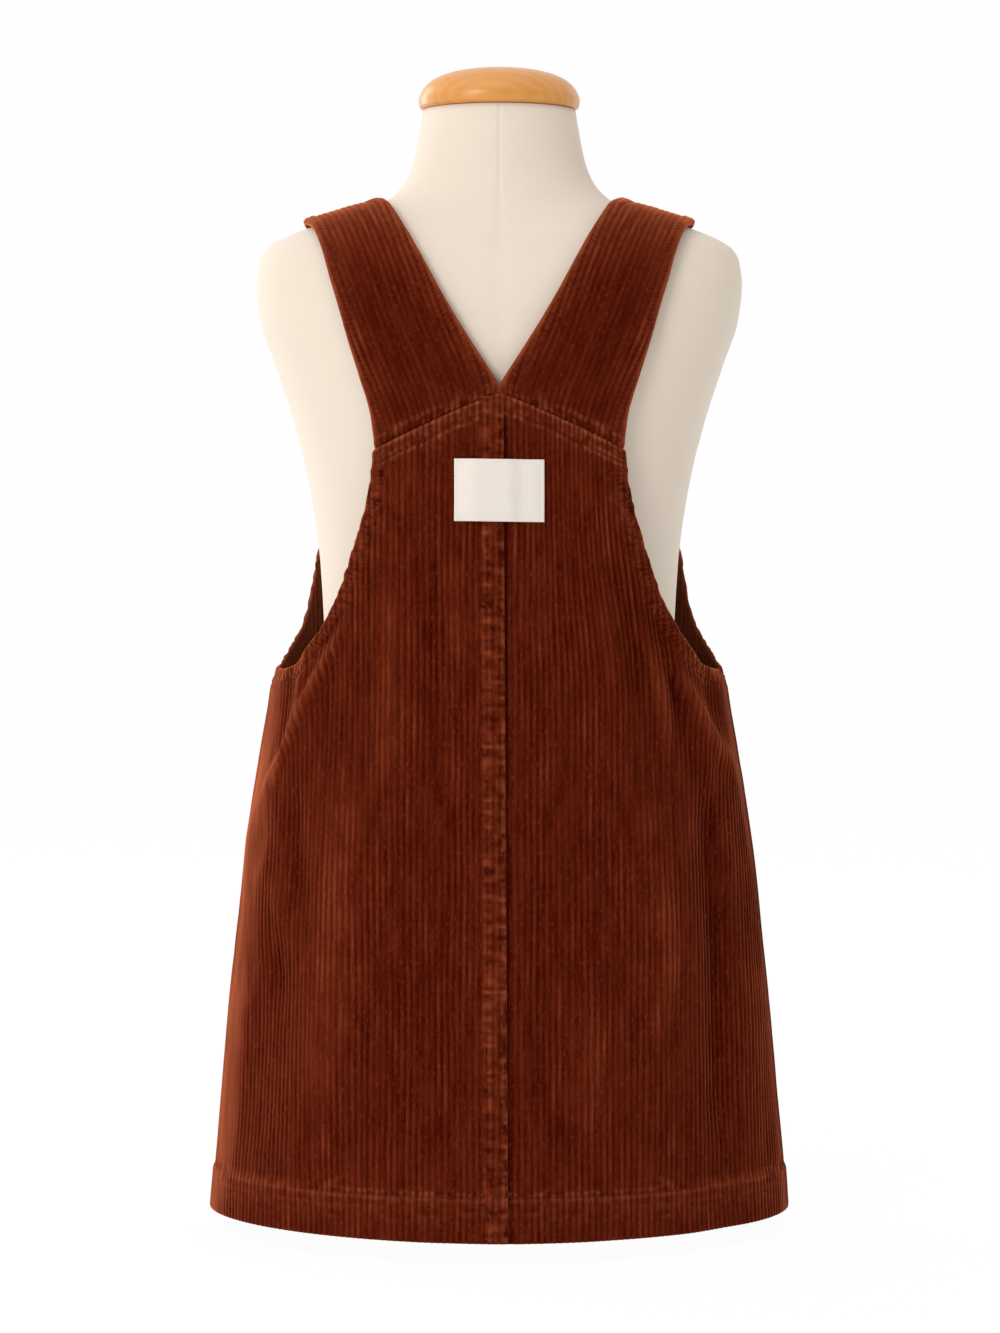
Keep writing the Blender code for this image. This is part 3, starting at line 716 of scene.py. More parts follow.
corduroy = makeCorduroy("corduroy", corduroyLook)
corduroyWrongSide = makeCorduroy("corduroyWrongSide", wrongSideLook)
formCover = makeWoven("formCover", coverLook, flat=False)
labelTwill = makeWoven("labelTwill", twillLook, flat=True)
capWood = makeWood("capWood")
threadLook = makePlain("thread", (0.110, 0.0170, 0.0050), 0.8, Specular_IOR_Level=0.1)
labelThread = makePlain("labelThread", (0.72, 0.66, 0.55), 0.7)
buttonHorn = makePlain("buttonHorn", (0.070, 0.026, 0.012), 0.28, Coat_Weight=0.3, Coat_Roughness=0.12)
print("materials made")


seamLook = {
    "waleRise": 0.00073,  # from groove to crown
    "waleCurve": 2.2,  # the power that rounds a crown
    "wander": ((0.00030, 0.0075, 0.045, 0), (0.00030, 0.022, 0.030, 0)),
    "topstitch": 0.0068,  # how far the armholes' stitches are from their fold
    "straightstitch": 0.0066,  # the same on the back's top seam
    "edgeStitch": 0.0016,
    "hemstitch": 0.0215,
    "strapStitch": 0.0062,
    "strapTopStitch": 0.0038,
    "stitchDip": 0.00075,
    "stitchHalf": 0.0012,
    "bandRise": 0.00045,  # of the doubled cloth between fold and stitches
    "bandStart": (-0.001, 0.0005),  # where the band fades in beside the fold
    "bandEnd": (-0.0012, 0.0004),  # and where it fades out, beside the stitches
    "pucker": 0.00042,
    "puckerReach": 0.0030,  # how far puckers run on past the stitches
    "drag": 0.00030,  # of the longer ridges that run off an armhole's stitches
    "dragReach": 0.0085,
    "puckerSizes": (0.0021, 0.012, 0.0047, 0.02),  # of the short ridges and the long ones, along and across
    "dragSizes": (0.0052, 0.030),
    "unevenSizes": (0.011, 0.02),
    "foldRound": 0.0009,
    "foldReach": 0.0007,
    "foldBead": (1.3, 0.0010, 0.0011),  # rubbed crowns: strength, distance from the fold and half width
    "stitchBeads": ((1.4, 0.0012, 0.0011), (0.9, -0.0014, 0.0009)),  # the same past and before the stitches
}


def waleProfile(across):
    # a round crown a wale wide, 0 in its grooves: one less a power of the distance from its middle
    phase = across / waleWidth
    return 1 - np.abs(2 * (phase - np.floor(phase)) - 1) ** seamLook["waleCurve"]


def waleWander(across, along, seed):
    # how far a wale wanders sideways: two uneven waves
    return layeredNoise(across, along, seed, seamLook["wander"])


def stitchedEdge(away, along, stitch, seed, crossing=0.0, strength=1.0):
    # what a topstitched fold does to the cloth beside it, from the distance away from the
    # fold and the place along it: the relief of the dip, of the band between fold and
    # stitches and of its ridges, how flat the wales lie, how pressed the pile is, and how
    # ridged; crossing is 1 where the wales cross the seam, and their crowns are rubbed
    look = seamLook
    beyond = away - stitch
    after = np.maximum(beyond, 0)
    dip = bell(beyond, look["stitchHalf"])
    band = smoothStep(stitch + look["bandEnd"][0], stitch + look["bandEnd"][1], away)
    band = smoothStep(*look["bandStart"], away) * (1 - band)
    past = fading(after, look["puckerReach"])
    short, shortAcross, long, longAcross = look["puckerSizes"]
    ridges = softNoise(along / short, away / shortAcross + 7, seed)
    ridges = ridges + 0.5 * softNoise(along / long, away / longAcross, seed + 1)
    dragRun, dragAcross = look["dragSizes"]
    drag = softNoise(along / dragRun, away / dragAcross, seed + 3) * fading(after, look["dragReach"])
    relief = -look["stitchDip"] * strength * (0.55 + 0.45 * crossing) * dip + look["bandRise"] * band
    pucker = look["pucker"] * strength * (1 - 0.75 * crossing)
    relief = relief + pucker * ridges * np.maximum(band, 0.8 * past)
    relief = relief + look["drag"] * strength * (1 - 0.6 * crossing) * drag * (1 - band)
    relief = relief - look["foldRound"] * fading(np.maximum(away, 0), look["foldReach"])
    flat = strength * np.maximum(0.7 * dip, 0.60 * (1 - crossing) * band)
    beads = [lineAt(away, *look["foldBead"]), *(lineAt(beyond, *row) for row in look["stitchBeads"])]
    beads = np.maximum.reduce([*beads, 0.30 * band, 0.40 * past])
    pressed = crossing * beads + (1 - crossing) * np.maximum(0.42 * band, 0.35 * past)
    unevenRun, unevenAcross = look["unevenSizes"]
    uneven = 0.8 + 0.35 * softNoise(along / unevenRun, away / unevenAcross, seed + 2)
    ridged = (1 - crossing) * np.maximum(smoothStep(0.0008, 0.0024, away) * band, 0.5 * past)
    return relief, flat, strength * pressed * np.maximum(uneven, 0), ridged


def nearestOn(edge, across, along):
    # distance from each point of the flat cloth to a polyline, the place along it, and its outward
    # direction there: the polyline runs with the cloth on its right
    run = np.concatenate(([0], np.cumsum(np.hypot(*np.diff(edge, axis=0).T))))
    far = np.full(across.shape, 1e9)
    where = np.zeros(across.shape)
    outward = np.zeros(across.shape + (2,))
    for k, step in enumerate(np.diff(edge, axis=0)):
        fromU, fromV = across - edge[k, 0], along - edge[k, 1]
        t = np.clip((fromU * step[0] + fromV * step[1]) / (step @ step), 0, 1)
        d = np.hypot(fromU - t * step[0], fromV - t * step[1])
        closer = d < far
        far = np.where(closer, d, far)
        where = np.where(closer, run[k] + t * (run[k + 1] - run[k]), where)
        outward = np.where(closer[..., None], np.array((-step[1], step[0])) / math.hypot(*step), outward)
    return far, where, outward


threadSize = {"length": 0.0024, "gap": 0.0009, "radius": 0.00027}


def stitchRows(name, rows, material, size=threadSize):
    # every stitch is a four-sided lozenge carried along its
    # chord, thinner at its ends; all rows make one mesh
    starts, ends, ups = [], [], []
    for points, normals in rows:
        run = np.concatenate(([0], np.cumsum(np.linalg.norm(np.diff(points, axis=0), axis=1))))
        at = np.arange(size["gap"], run[-1] - size["length"], size["length"] + size["gap"])
        middle, end = at + size["length"] / 2, at + size["length"]
        for target, where, values in ((starts, at, points), (ends, end, points), (ups, middle, normals)):
            target.append(np.stack([np.interp(where, run, values[:, k]) for k in range(3)], -1))
    start, end, up = (np.concatenate(part)[:, None, None] for part in (starts, ends, ups))
    up = unit(up)
    side = np.cross(unit(end - start), up)
    t = np.array((0, 0.25, 0.75, 1))[:, None, None]
    thick = np.array((0.4, 1, 1, 0.4))[:, None, None] * size["radius"]
    lift = np.array((-0.9, 0, 0, -0.9))[:, None, None] * size["radius"]
    corners = np.array(((1, 0), (0, 1), (-1, 0), (0, -1)))
    ring = thick * (corners[:, :1] * side + corners[:, 1:] * up)
    points = (start + t * (end - start) + lift * up + ring).reshape(-1, 3)
    one = np.concatenate((gridQuads(4, 4, closed=True), [[0, 1, 2, 3], [15, 14, 13, 12]]))
    quads = (one[None] + 16 * np.arange(len(start))[:, None, None]).reshape(-1, 4)
    return putMesh(name, points, quads, [material])


backPanel = {
    "hem": 0.010,
    "armholeBottom": 0.2775,
    "topMiddle": 0.4124,
    "topCorner": 0.3850,
    "bow": 0.92,
    "isBack": True,
    "drawReach": 0.030,  # how far from the side seam an armhole's edge is still drawn in
    "stitchEnd": 0.0060,  # how far from the side seam the armhole's stitches end
    "ragged": 0.00030,  # how uneven the armhole's edge is
    # the shares of the painted highlight and of the smoothness beside the side seam
    "paintedLightBeside": (0.55, 0.45, 0.001, 0.013),  # shares of the lightness and smoothness beside the side seam
    "smoothBeside": (0.20, 0.80, 0.005, 0.020),
    "columnsPerWale": 5,
    "edgeStep": 0.0016,
    "rows": ((0.010, 0.040, 30), (0.040, 0.250, 26), (0.250, 0.3950, 48), (0.3950, 0.4124, 24)),
    "armhole": table(
        "height halfWidth",
        (0.2775, 0.1140), (0.2790, 0.1060), (0.2818, 0.1000), (0.2872, 0.0956), (0.2990, 0.0873),
        (0.3166, 0.0781), (0.3400, 0.0702), (0.3630, 0.0638), (0.3850, 0.0608),
    ),
}
frontPanel = {
    "hem": 0.010,
    "armholeBottom": 0.2775,
    "topMiddle": 0.4000,
    "topCorner": 0.4000,
    "bow": 1,
    "isBack": False,
    "drawReach": 0.0085,
    "stitchEnd": 0.0180,
    "ragged": 0.00008,
    "paintedLightBeside": (0, 0.55, 0.024, 0.0),
    "smoothBeside": (0, 0.20, 0.030, 0.006),
    "columnsPerWale": 4,
    "edgeStep": 0.0020,
    "rows": ((0.010, 0.042, 16), (0.042, 0.250, 16), (0.250, 0.3860, 34), (0.3860, 0.4000, 16)),
    "armhole": table(
        "height halfWidth",
        (0.2775, 0.1140), (0.2795, 0.1114), (0.2840, 0.1088), (0.2910, 0.1050), (0.2985, 0.1012),
        (0.3120, 0.0975), (0.3340, 0.0938), (0.3550, 0.0900), (0.3780, 0.0838), (0.4000, 0.0745),
    ),
}
clothThickness = 0.0018
weltFold = (-0.0042, -0.0020)  # sideways place of the felled seam's folded edge at the hem and at the peak
sideSeamGap = 0.00004
backMap, frontMap = ArcMap(True), ArcMap(False)


def turnOf(piece, angle, side):
    # an angle from the piece's own middle, on a side, as one from the centre back towards the wearer's left
    return side * (angle if piece["isBack"] else math.pi - angle)


def sideSeamAngle(height):
    # a right angle less what keeps half the gap from the seam's plane
    depth, n = rowAt(garmentSections, height, "back", "squareness")
    return math.pi / 2 - (sideSeamGap / 2 / depth) ** (n / 2)


def panelEdges(piece, arcMap):
    # half a panel's edges in the flat, as rows of distance from its middle and height: the top from the
    # middle out, the armhole down, and the side seam down
    armhole = piece["armhole"]
    share = np.linspace(0, 1, 61)
    topHeight = piece["topMiddle"] + (piece["topCorner"] - piece["topMiddle"]) * share ** piece["bow"]
    topAngle = share * angleAtX(armhole["halfWidth"][-1], piece["topCorner"])
    rise = np.linspace(1, 0, 141) ** 2  # closest at the bottom, where the armhole runs nearly level
    armHeight = piece["armholeBottom"] + (piece["topCorner"] - piece["armholeBottom"]) * rise
    armAngle = angleAtX(rowAt(armhole, armHeight)[0], armHeight)
    armAngle = np.minimum(armAngle, sideSeamAngle(armHeight))
    sideHeight = np.linspace(piece["armholeBottom"], piece["hem"], 65)
    sides = ((topAngle, topHeight), (armAngle, armHeight), (sideSeamAngle(sideHeight), sideHeight))
    return [np.stack([arcMap.arc(angle, height), height], -1) for angle, height in sides]


def panelGrid(piece, edges):
    # the half panel's lattice in the flat: columns keep their distance from the middle, closer where the
    # edge is steep, and run from the hem up to the edge, with rows closer at hem and armhole
    edge = np.concatenate(edges)
    edge[:, 0] = np.maximum.accumulate(edge[:, 0] + 1e-7 * np.arange(len(edge)))
    step, last = waleWidth / piece["columnsPerWale"], edge[-1, 0] - 0.0003
    columns = np.append(np.arange(0.00005, last, step), last)
    top = np.interp(columns, edge[:, 0], edge[:, 1])
    steep = (top[:-1] > piece["armholeBottom"]) * np.abs(np.diff(top))
    parts = np.clip(np.ceil(steep / piece["edgeStep"]), 1, 4).astype(int)
    stretches = [np.linspace(a, b, n, endpoint=False) for a, b, n in zip(columns, columns[1:], parts)]
    columns = np.concatenate([*stretches, columns[-1:]])
    top = np.interp(columns, edge[:, 0], edge[:, 1])
    stretches = [np.linspace(low, high, count, endpoint=False) for low, high, count in piece["rows"]]
    heights = np.concatenate([*stretches, [piece["topMiddle"]]])
    share = (heights - piece["hem"]) / (piece["topMiddle"] - piece["hem"])
    along = piece["hem"] + share[:, None] * (top - piece["hem"])
    return columns + 0 * along, along


panelLook = {
    "drawDepth": 0.0040,  # how far an armhole's edge is drawn in under the arm, and how that falls off
    "drawFade": (0.0042, 1.5),
    "sideSink": ((-0.0011, 0.0011), (-0.0003, 0.006)),  # depths and reaches of what the side seam pulls in
    "topRidge": (0.0004, 0.0007, 0.0007),  # strength, distance from the top edge and half width
    "underArm": (0.345, 0.305),  # heights between which the part of an armhole under the arm begins
    "ledge": 0.0006,  # of the hem's doubled cloth
    "ledgeEnd": (0.0008, -0.0014),
    # painted highlight before the hem's stitches and painted shadow past them, and painted highlight over its
    # turned-in edge
    "hemHighlightAndShadow": ((0.60, -0.0015, 0.0010), (-0.50, 0.0008, 0.0010)),  # light before its stitches, dark past
    "hemEdgeHighlight": (0.30, -0.0062, 0.0009),  # light over the edge that is turned in, towards the sides
    "hemFade": (0.004, 0.012),  # heights over the hem's edge between which its rubbed pile begins
    "armFlat": (0.85, 0, 0.012),  # how the armhole's fold flattens towards the side seam
    "sideFlat": 0.0015,  # how far the side seam flattens the wales
    "waves": ((0.00035, 0.019, 0.036, 11),),
    "unevenWales": ((0.35, 0.013, 0.055, 13),),
    "beadStep": 0.016,  # how long each wale keeps its height
    "raggedStep": 0.0024,
    "scallopReach": 0.0015,
    "scallop": 0.00030,  # how far each wale's crown stands out of an armhole's edge
    # painted highlights along the top's folded edge and along the armhole's
    "topRimHighlight": (1.3, 0.0006, 0.0009),
    "armRimHighlight": 0.0010,
    "napBand": 0.0100,  # the width beside an armhole's upper part where the pile is ruffled
}


def drawnIn(piece, awayArm, awaySide):
    # under the arm the edge is drawn in to the body, fading
    # with the distances from the armhole and the side seam
    armShare = bell(awayArm, *panelLook["drawFade"])
    return -panelLook["drawDepth"] * armShare * bell(awaySide, piece["drawReach"])


def panelRelief(piece, edges, place, fan, seed, smooth, deep):
    # height of the cloth over its own plain surface, added up from stitched folds, the sunk side seam, the
    # hem's ledge, soft waves and the wales, which seams flatten; with it go the sideways scallop of the
    # armhole's edge, values for the pile with its painted light and shade, and how far the wales wander
    look = panelLook
    across, along, awaySide = place
    awayTop, alongTop, _ = nearestOn(edges[0][::5], across, along)
    awayArm, alongArm, outwardArm = nearestOn(edges[1][::2], across, along)
    awayHem = along - piece["hem"]
    top = stitchedEdge(awayTop, alongTop, seamLook["straightstitch"], seed, crossing=1)
    arm = stitchedEdge(awayArm, alongArm, seamLook["topstitch"], seed + 3)
    hem = stitchedEdge(awayHem, across, seamLook["hemstitch"], seed + 6, crossing=1)
    lower = smoothStep(*look["underArm"], along)
    sink = drawnIn(piece, awayArm, awaySide)
    beyondHem = awayHem - seamLook["hemstitch"]
    ledge = smoothStep(*(seamLook["hemstitch"] + end for end in look["ledgeEnd"]), awayHem)
    armRelief = arm[0] * (1 - lineAt(awaySide, *look["armFlat"]))
    sideRelief = sum(depth * fading(awaySide, reach) for depth, reach in look["sideSink"])
    relief = top[0] + armRelief + 0.45 * hem[0] + sideRelief + lineAt(awayTop, *look["topRidge"])
    relief = relief + sink + look["ledge"] * ledge
    sideFlat = 0.6 * fading(awaySide, look["sideFlat"])
    flat = np.maximum.reduce([top[1], arm[1], 0.6 * hem[1], sideFlat, 0.9 * smooth])

    wander = waleWander(across, along, seed + 9) + fan
    rise = waleProfile(across + wander)
    level = along / look["beadStep"] + 2.3 * np.sin(1.7 * across / waleWidth)  # out of step from wale to wale
    uneven = 1 + 0.30 * softNoise(across / waleWidth, level, seed + 10)
    uneven = uneven + layeredNoise(across, along, seed, look["unevenWales"])
    relief = relief + seamLook["waleRise"] * (rise - 0.6) * (uneven + 0.7 * deep) * (1 - flat)
    relief = relief + layeredNoise(across, along, seed, look["waves"])
    ragged = piece["ragged"] * softNoise(alongArm / look["raggedStep"], 0 * alongArm, seed + 12)
    scallop = (look["scallop"] * (rise - 0.5) + ragged) * (1 - 0.75 * lower)
    shift = (scallop * fading(awayArm, look["scallopReach"]))[..., None] * outwardArm

    hemPressed = 0.60 * hem[2] * smoothStep(*look["hemFade"], awayHem)
    nearTop = top[2] >= np.maximum(arm[2], hemPressed)
    nearArm = arm[2] >= np.maximum(top[2], hemPressed)
    # painted highlight and painted shadow along the hem
    paintedHemLines = sum(lineAt(beyondHem, *row) for row in look["hemHighlightAndShadow"])
    # painted highlight along the armhole's folded edge, even in its lower part and on the wales' crowns above
    armRimHighlight = bell(awayArm, look["armRimHighlight"]) * (lower + (1 - lower) * (1.7 * rise - 0.4))
    values = {
        "pressed": np.maximum.reduce([top[2], arm[2], hemPressed]),
        "ridged": arm[3] * nearArm * (0.35 + 0.65 * lower),
        "seamRun": np.where(nearTop, 0.4 * alongTop, np.where(nearArm, alongArm + 0.5, 0.4 * across + 1.0)),
        "seamAway": np.where(nearTop, awayTop, np.where(nearArm, awayArm, awayHem)),
        "rim": armRimHighlight + lineAt(awayTop, *look["topRimHighlight"]) * (0.1 + 1.2 * rise),
        "sink": sink,
        "paintedHemLines": paintedHemLines + lineAt(beyondHem, *look["hemEdgeHighlight"]) * smoothStep(0.03, 0.10, across),
        "band": bell(awayArm, look["napBand"], 4) * (1 - lower),
    }
    return relief, shift, values, wander


def foldLightAndShade(angle, height):
    # painted highlight on a fold's crest and painted shade in its
    # trough: in proportion to how far the fold stands out
    crease = creaseOut(angle, height)
    return 130 * crease + 150 * np.maximum(crease, 0) + 30 * foldOut(angle, height)


# where the pile beside the side seams is brushed smooth, by wearer's side: the sideways place of its inner
# edge and how much lighter it is painted there, at some heights: a painted highlight of the lit side, and
# almost none on the shaded side
brushedAndLit = {
    1: table(
        "height x level",
        (0.012, 0.1335, 0.55), (0.050, 0.1285, 0.64), (0.083, 0.1255, 0.70), (0.104, 0.1243, 0.74),
        (0.118, 0.1212, 0.74), (0.131, 0.1176, 0.62), (0.152, 0.1173, 0.70), (0.171, 0.1171, 0.64),
        (0.190, 0.1125, 0.68), (0.209, 0.1109, 0.78), (0.228, 0.1078, 0.76), (0.244, 0.1070, 0.58),
        (0.258, 0.1062, 0.50), (0.274, 0.1045, 0.44), (0.290, 0.1005, 0.38),
    ),
    -1: table(
        "height x level",
        (0.012, 0.1390, 0.10), (0.083, 0.1335, 0.08), (0.160, 0.1265, 0.05), (0.205, 0.1190, 0.02),
        (0.230, 0.1150, 0.02), (0.242, 0.1100, 0.02), (0.262, 0.1050, 0.02), (0.290, 0.0990, 0.02),
    ),
}


def brushedAndLitShare(turn, height, side):
    # how far the pile is brushed smooth, how light it is painted there, and the distance inside the garment's
    # outline
    x = np.abs(garmentPoint(turn, height)[..., 0])
    edge, level = rowAt(brushedAndLit[side], height)
    smooth = smoothStep(-0.0010, 0.0030, x - edge) * smoothStep(0.290, 0.275, height)
    return smooth, level, np.maximum(rowAt(garmentSections, height, "halfWidth")[0] - x, 0)


# where the wales are drawn together beside the wearer's right armhole, so that their grooves show deeper
drawn = {"x": -0.0640, "height": 0.3000, "halfWidth": 0.0190, "halfHeight": 0.0420}
# how far the wales under that armhole are shifted outward above, so that they fan out on their way down
fanned = {"side": -1, "shift": 0.0125, "x": (0.010, 0.062), "height": (0.262, 0.372)}


def fannedShift(side, across, along):
    # the shift: growing with the distance from the middle, and with the height
    if side != fanned["side"]:
        return 0 * across
    return fanned["shift"] * smoothStep(*fanned["x"], across) * smoothStep(*fanned["height"], along)


def drawnShare(turn, height):
    # 1 in the middle of that place, on the back, and falling as an oval bell
    x = garmentPoint(turn, height)[..., 0]
    across, up = (x - drawn["x"]) / drawn["halfWidth"], (height - drawn["height"]) / drawn["halfHeight"]
    return np.exp(-(across**2) - up**2) * (np.cos(turn) > 0)


napAndLightLook = {
    # painted sheen highlight along folded edges
    "rim": 1.15,  # light along folded edges
    # random patches of painted highlight beside the lit side seam, the painted highlight that the outline
    # adds to them, and how much they show
    "highlightPatches": ((0.26, 0.0040, 0.016, 14), (0.26, 0.010, 0.030, 15)),
    "outlineHighlight": 0.55,  # what the outline adds to them, below the heights where it ends
    "outlineHighlightTop": (0.276, 0.262),
    "rubbed": 1.6,  # how much they show
    "ruffles": ((1.0, 0.0036, 0.0044, 16), (0.5, 0.0014, 0.0018, 17)),
    "ruffled": 0.75,
    "ruffledWorn": 0.70,  # how far the wales go where the pile is ruffled
    # painted shade and painted highlight at the garment's outline, by side
    "outline": 0.0036,  # how far the dark or light of the garment's outline reaches
    "shadedEdge": 0.85,
    "shadedRidge": (0.55, 0.0038, 0.0015),  # strength, distance inside the outline and half width
    "shadedRidgeTop": (0.140, 0.080),  # heights between which it ends
    "litEdge": (0.45, 0.0007),  # strength and reach
    # painted shade: the sheen taken off the shaded side's outline, its strength and reach
    "shadeWithoutSheen": (0.85, 0.0024),
    "furrow": (0.0008, 0.0011),  # place and half width of the furrow beside the felled seam
    "furrowTop": (0.398, 0.403),
    "furrowDepth": 0.0007,
    # painted shadow in the furrow
    "furrowShade": 0.8,
    # painted highlight at the peak
    "peak": (0.016, 0.004),  # distances from the middle and heights between which the peak gets lighter
    "peakHeights": (0.396, 0.404),
    "peakHighlight": 0.30,
    "held": (1, -0.50, 0.205, 0.250),  # the wales stand out again under the arm
}


def makeHalfPanel(piece, arcMap, side, seed):
    # half a panel on the garment: the outer lattice is moved out by the relief and the inner one is a
    # cloth's thickness in; with them go the flat coordinates, the values of the pile with its painted light
    # and shade, and the flat edges
    look = napAndLightLook
    edges = panelEdges(piece, arcMap)
    across, along = panelGrid(piece, edges)
    turn = turnOf(piece, arcMap.angle(across, along), side)
    smooth, level, inside = brushedAndLitShare(turn, along, side)
    outermost = fading(inside, look["outline"])
    awaySide, _, _ = nearestOn(edges[2][::8], across, along)
    # level is the painted highlight beside the side seam
    level = level * ramp(awaySide, *piece["paintedLightBeside"])
    brushedFlat = smooth * ramp(awaySide, *piece["smoothBeside"])
    # where the wales are drawn together the pile also gets a little painted shade
    deep = drawnShare(turn, along)
    fan = fannedShift(side, across, along) * piece["isBack"]
    place = (across, along, awaySide)
    relief, shift, values, wander = panelRelief(piece, edges, place, fan, seed, brushedFlat, deep)

    def lay(out):
        # the lattice on the garment, shifted in the flat and moved out
        angle = arcMap.angle(across + shift[..., 0], along)
        return garmentPoint(turnOf(piece, angle, side), along + shift[..., 1], out)

    naplight = foldLightAndShade(turn, along)
    # the furrow beside the felled seam's fold also gets a painted shadow
    if piece["isBack"] and side < 0:  # the panel sinks beside the felled seam's fold
        fold = -np.interp(along, (backPanel["hem"], backPanel["topMiddle"]), weltFold)
        furrow = lineAt(across - fold, 1, *look["furrow"]) * (1 - smoothStep(*look["furrowTop"], along))
        relief, naplight = relief - look["furrowDepth"] * furrow, naplight - look["furrowShade"] * furrow
    # patches of the painted highlight, with the painted highlight of the lit outline
    highlightPatches = layeredNoise(across, along, seed, look["highlightPatches"])
    highlightPatches = smooth * (look["outlineHighlight"] * outermost * smoothStep(*look["outlineHighlightTop"], along) + highlightPatches)
    peak = look["peakHighlight"] * smoothStep(*look["peak"], across) * smoothStep(*look["peakHeights"], along)
    # painted shade at the shaded side's outline with a painted highlight on the seam's ridge just inside it;
    # on the lit side, soft painted shade at the outline
    if side < 0:  # the shaded side: dark at the outline, with the seam's ridge catching light just inside it
        ridge = lineAt(inside, *look["shadedRidge"]) * smoothStep(*look["shadedRidgeTop"], along)
        naplight = naplight - look["shadedEdge"] * outermost + ridge
    else:  # the lit side's outline is softly darker
        naplight = naplight - look["litEdge"][0] * fading(inside, look["litEdge"][1]) * smooth
    band = values.pop("band")
    # painted highlights along folded edges, on the hem's lines and at the peak, less a little painted shade
    # where the wales are drawn together
    naplight = naplight + look["rim"] * values.pop("rim") + values.pop("paintedHemLines") + peak * piece["isBack"] - 0.12 * deep
    # the painted highlight beside the side seam, in patches
    naplight = naplight + level * (smooth + look["rubbed"] * highlightPatches)
    values["naplight"] = naplight + look["ruffled"] * band * layeredNoise(across, along, seed, look["ruffles"])
    values["shadeWithoutSheen"] = look["shadeWithoutSheen"][0] * fading(inside, look["shadeWithoutSheen"][1]) * (side < 0) + 0 * across
    held = ramp(along, *look["held"])
    values["worn"] = np.maximum(0.85 * brushedFlat * held - 0.6 * deep, look["ruffledWorn"] * band)
    flat = np.stack([across + wander, along], -1)
    return lay(relief), lay(-clothThickness + values.pop("sink")), flat, values, edges


corduroySides = [corduroy, corduroyWrongSide]


def makeBack(node, side, seed):
    # half a panel, its columns turned round on the wearer's right so that it still faces out
    outer, inner, flat, values, edges = makeHalfPanel(backPanel, backMap, side, seed)
    outer, inner, flat = (rows[:, ::side] for rows in (outer, inner, flat))
    values = {key: value[:, ::side] for key, value in values.items()}
    made = shell(node + "_cloth", outer, inner, flat, values, corduroySides)
    place(made, "corduroy", node)
    return edges


def makeFront(node):
    # two half panels joined at the middle, the left one's columns turned round
    left = makeHalfPanel(frontPanel, frontMap, 1, 70)
    right = makeHalfPanel(frontPanel, frontMap, -1, 90)

    def joined(one, other):
        # the left half's columns from its outside in, then the right half's after the one that they share
        return np.concatenate((one[:, ::-1], other[:, 1:]), axis=1)

    outer, inner, flat = (joined(one, other) for one, other in zip(left[:3], right[:3]))
    values = {key: joined(value, right[3][key]) for key, value in left[3].items()}
    flat[:, : left[0].shape[1], 0] *= -1
    made = shell(node + "_cloth", outer, inner, flat, values, corduroySides)
    place(made, "corduroy", node)
    return left[4]


backEdges = makeBack("back_left", 1, 10)
makeBack("back_right", -1, 40)
frontEdges = makeFront("front")
print("panels made")


shoulder = (0.004, 0.440)  # Y and Z of the line that the straps turn about
strapShape = table(
    "turn inner outer lift",  # degrees over the shoulder, 0 at the back, and the edges' sideways places
    (-42, -0.0200, 0.0598, 0.0000),
    (-30, -0.0100, 0.0625, 0.0000),
    (-18, 0.0000, 0.0674, 0.0000),
    (-4, 0.0120, 0.0725, 0.0000),
    (10, 0.0225, 0.0767, 0.0000),
    (28, 0.0335, 0.0820, 0.0000),
    (45, 0.0427, 0.0864, 0.0000),
    (65, 0.0530, 0.0922, 0.0000),
    (90, 0.0612, 0.0978, 0.0000),
    (130, 0.0530, 0.0900, 0.0004),
    (180, 0.0400, 0.0765, 0.0018),
    (202, 0.0350, 0.0715, 0.0030),
    (230, 0.0310, 0.0665, 0.0030),
)
strap = {
    "end": 0.372,
    "endRound": 0.006,
    "tuck": 0.0010,
    "tuckDepth": 0.0012,
    "thickness": 0.0026,
    "waleLine": 0.62,  # how far across it, from the outer edge, its wales keep to their line
    "topHollow": (0.0009, 0.0007),  # height and reach of its cloth's rise out of the seam
    "waves": ((0.0003, 0.015, 0.03, 11),),
    "waleShare": 0.42,
    "columns": 150,
    "rows": 150,
}


def overShoulder(x, turn, out):
    # points of the garment's surface, moved out, that rays from the shoulder's line meet at an x and a turn
    angle = np.radians(turn)

    def point(reach):
        # Y and Z at a distance along the ray
        return shoulder[0] + reach * np.cos(angle), shoulder[1] + reach * np.sin(angle)

    def outside(reach):
        # the superellipse's two powers less 1, which is above 0 outside it
        y, z = point(reach)
        halfWidth, centre, back, front, n = rowAt(garmentSections, z)
        depth = np.where(y >= centre, back, front) + out
        return np.abs(x / (halfWidth + out)) ** n + np.abs((y - centre) / depth) ** n - 1

    nowhere = np.zeros(np.shape(x + angle + out))
    y, z = point(rootOf(outside, nowhere, nowhere + 0.12))
    return np.stack([x + 0 * y, y, z], axis=-1)


def strapPoint(share, turn):
    # the left strap's outer side, from its inner edge (0) to its outer (1)
    inner, outer, lift = rowAt(strapShape, turn)
    inner = np.maximum(inner, 0.00002)
    return overShoulder(inner + (outer - inner) * share, turn, lift)


def backTopHeight(x):
    # height of the back's top edge at a distance from the middle
    middle, end = backPanel["topMiddle"], backPanel["topCorner"]
    corner = angleAtX(backPanel["armhole"]["halfWidth"][-1], end)

    def edge(share):
        # a point of the edge, at a share of the way from its middle to its corner
        return garmentPoint(share * corner, middle + (end - middle) * share ** backPanel["bow"])

    return edge(rootOf(lambda share: edge(share)[..., 0] - x, 0 * x, 0 * x + 1.1))[..., 2]


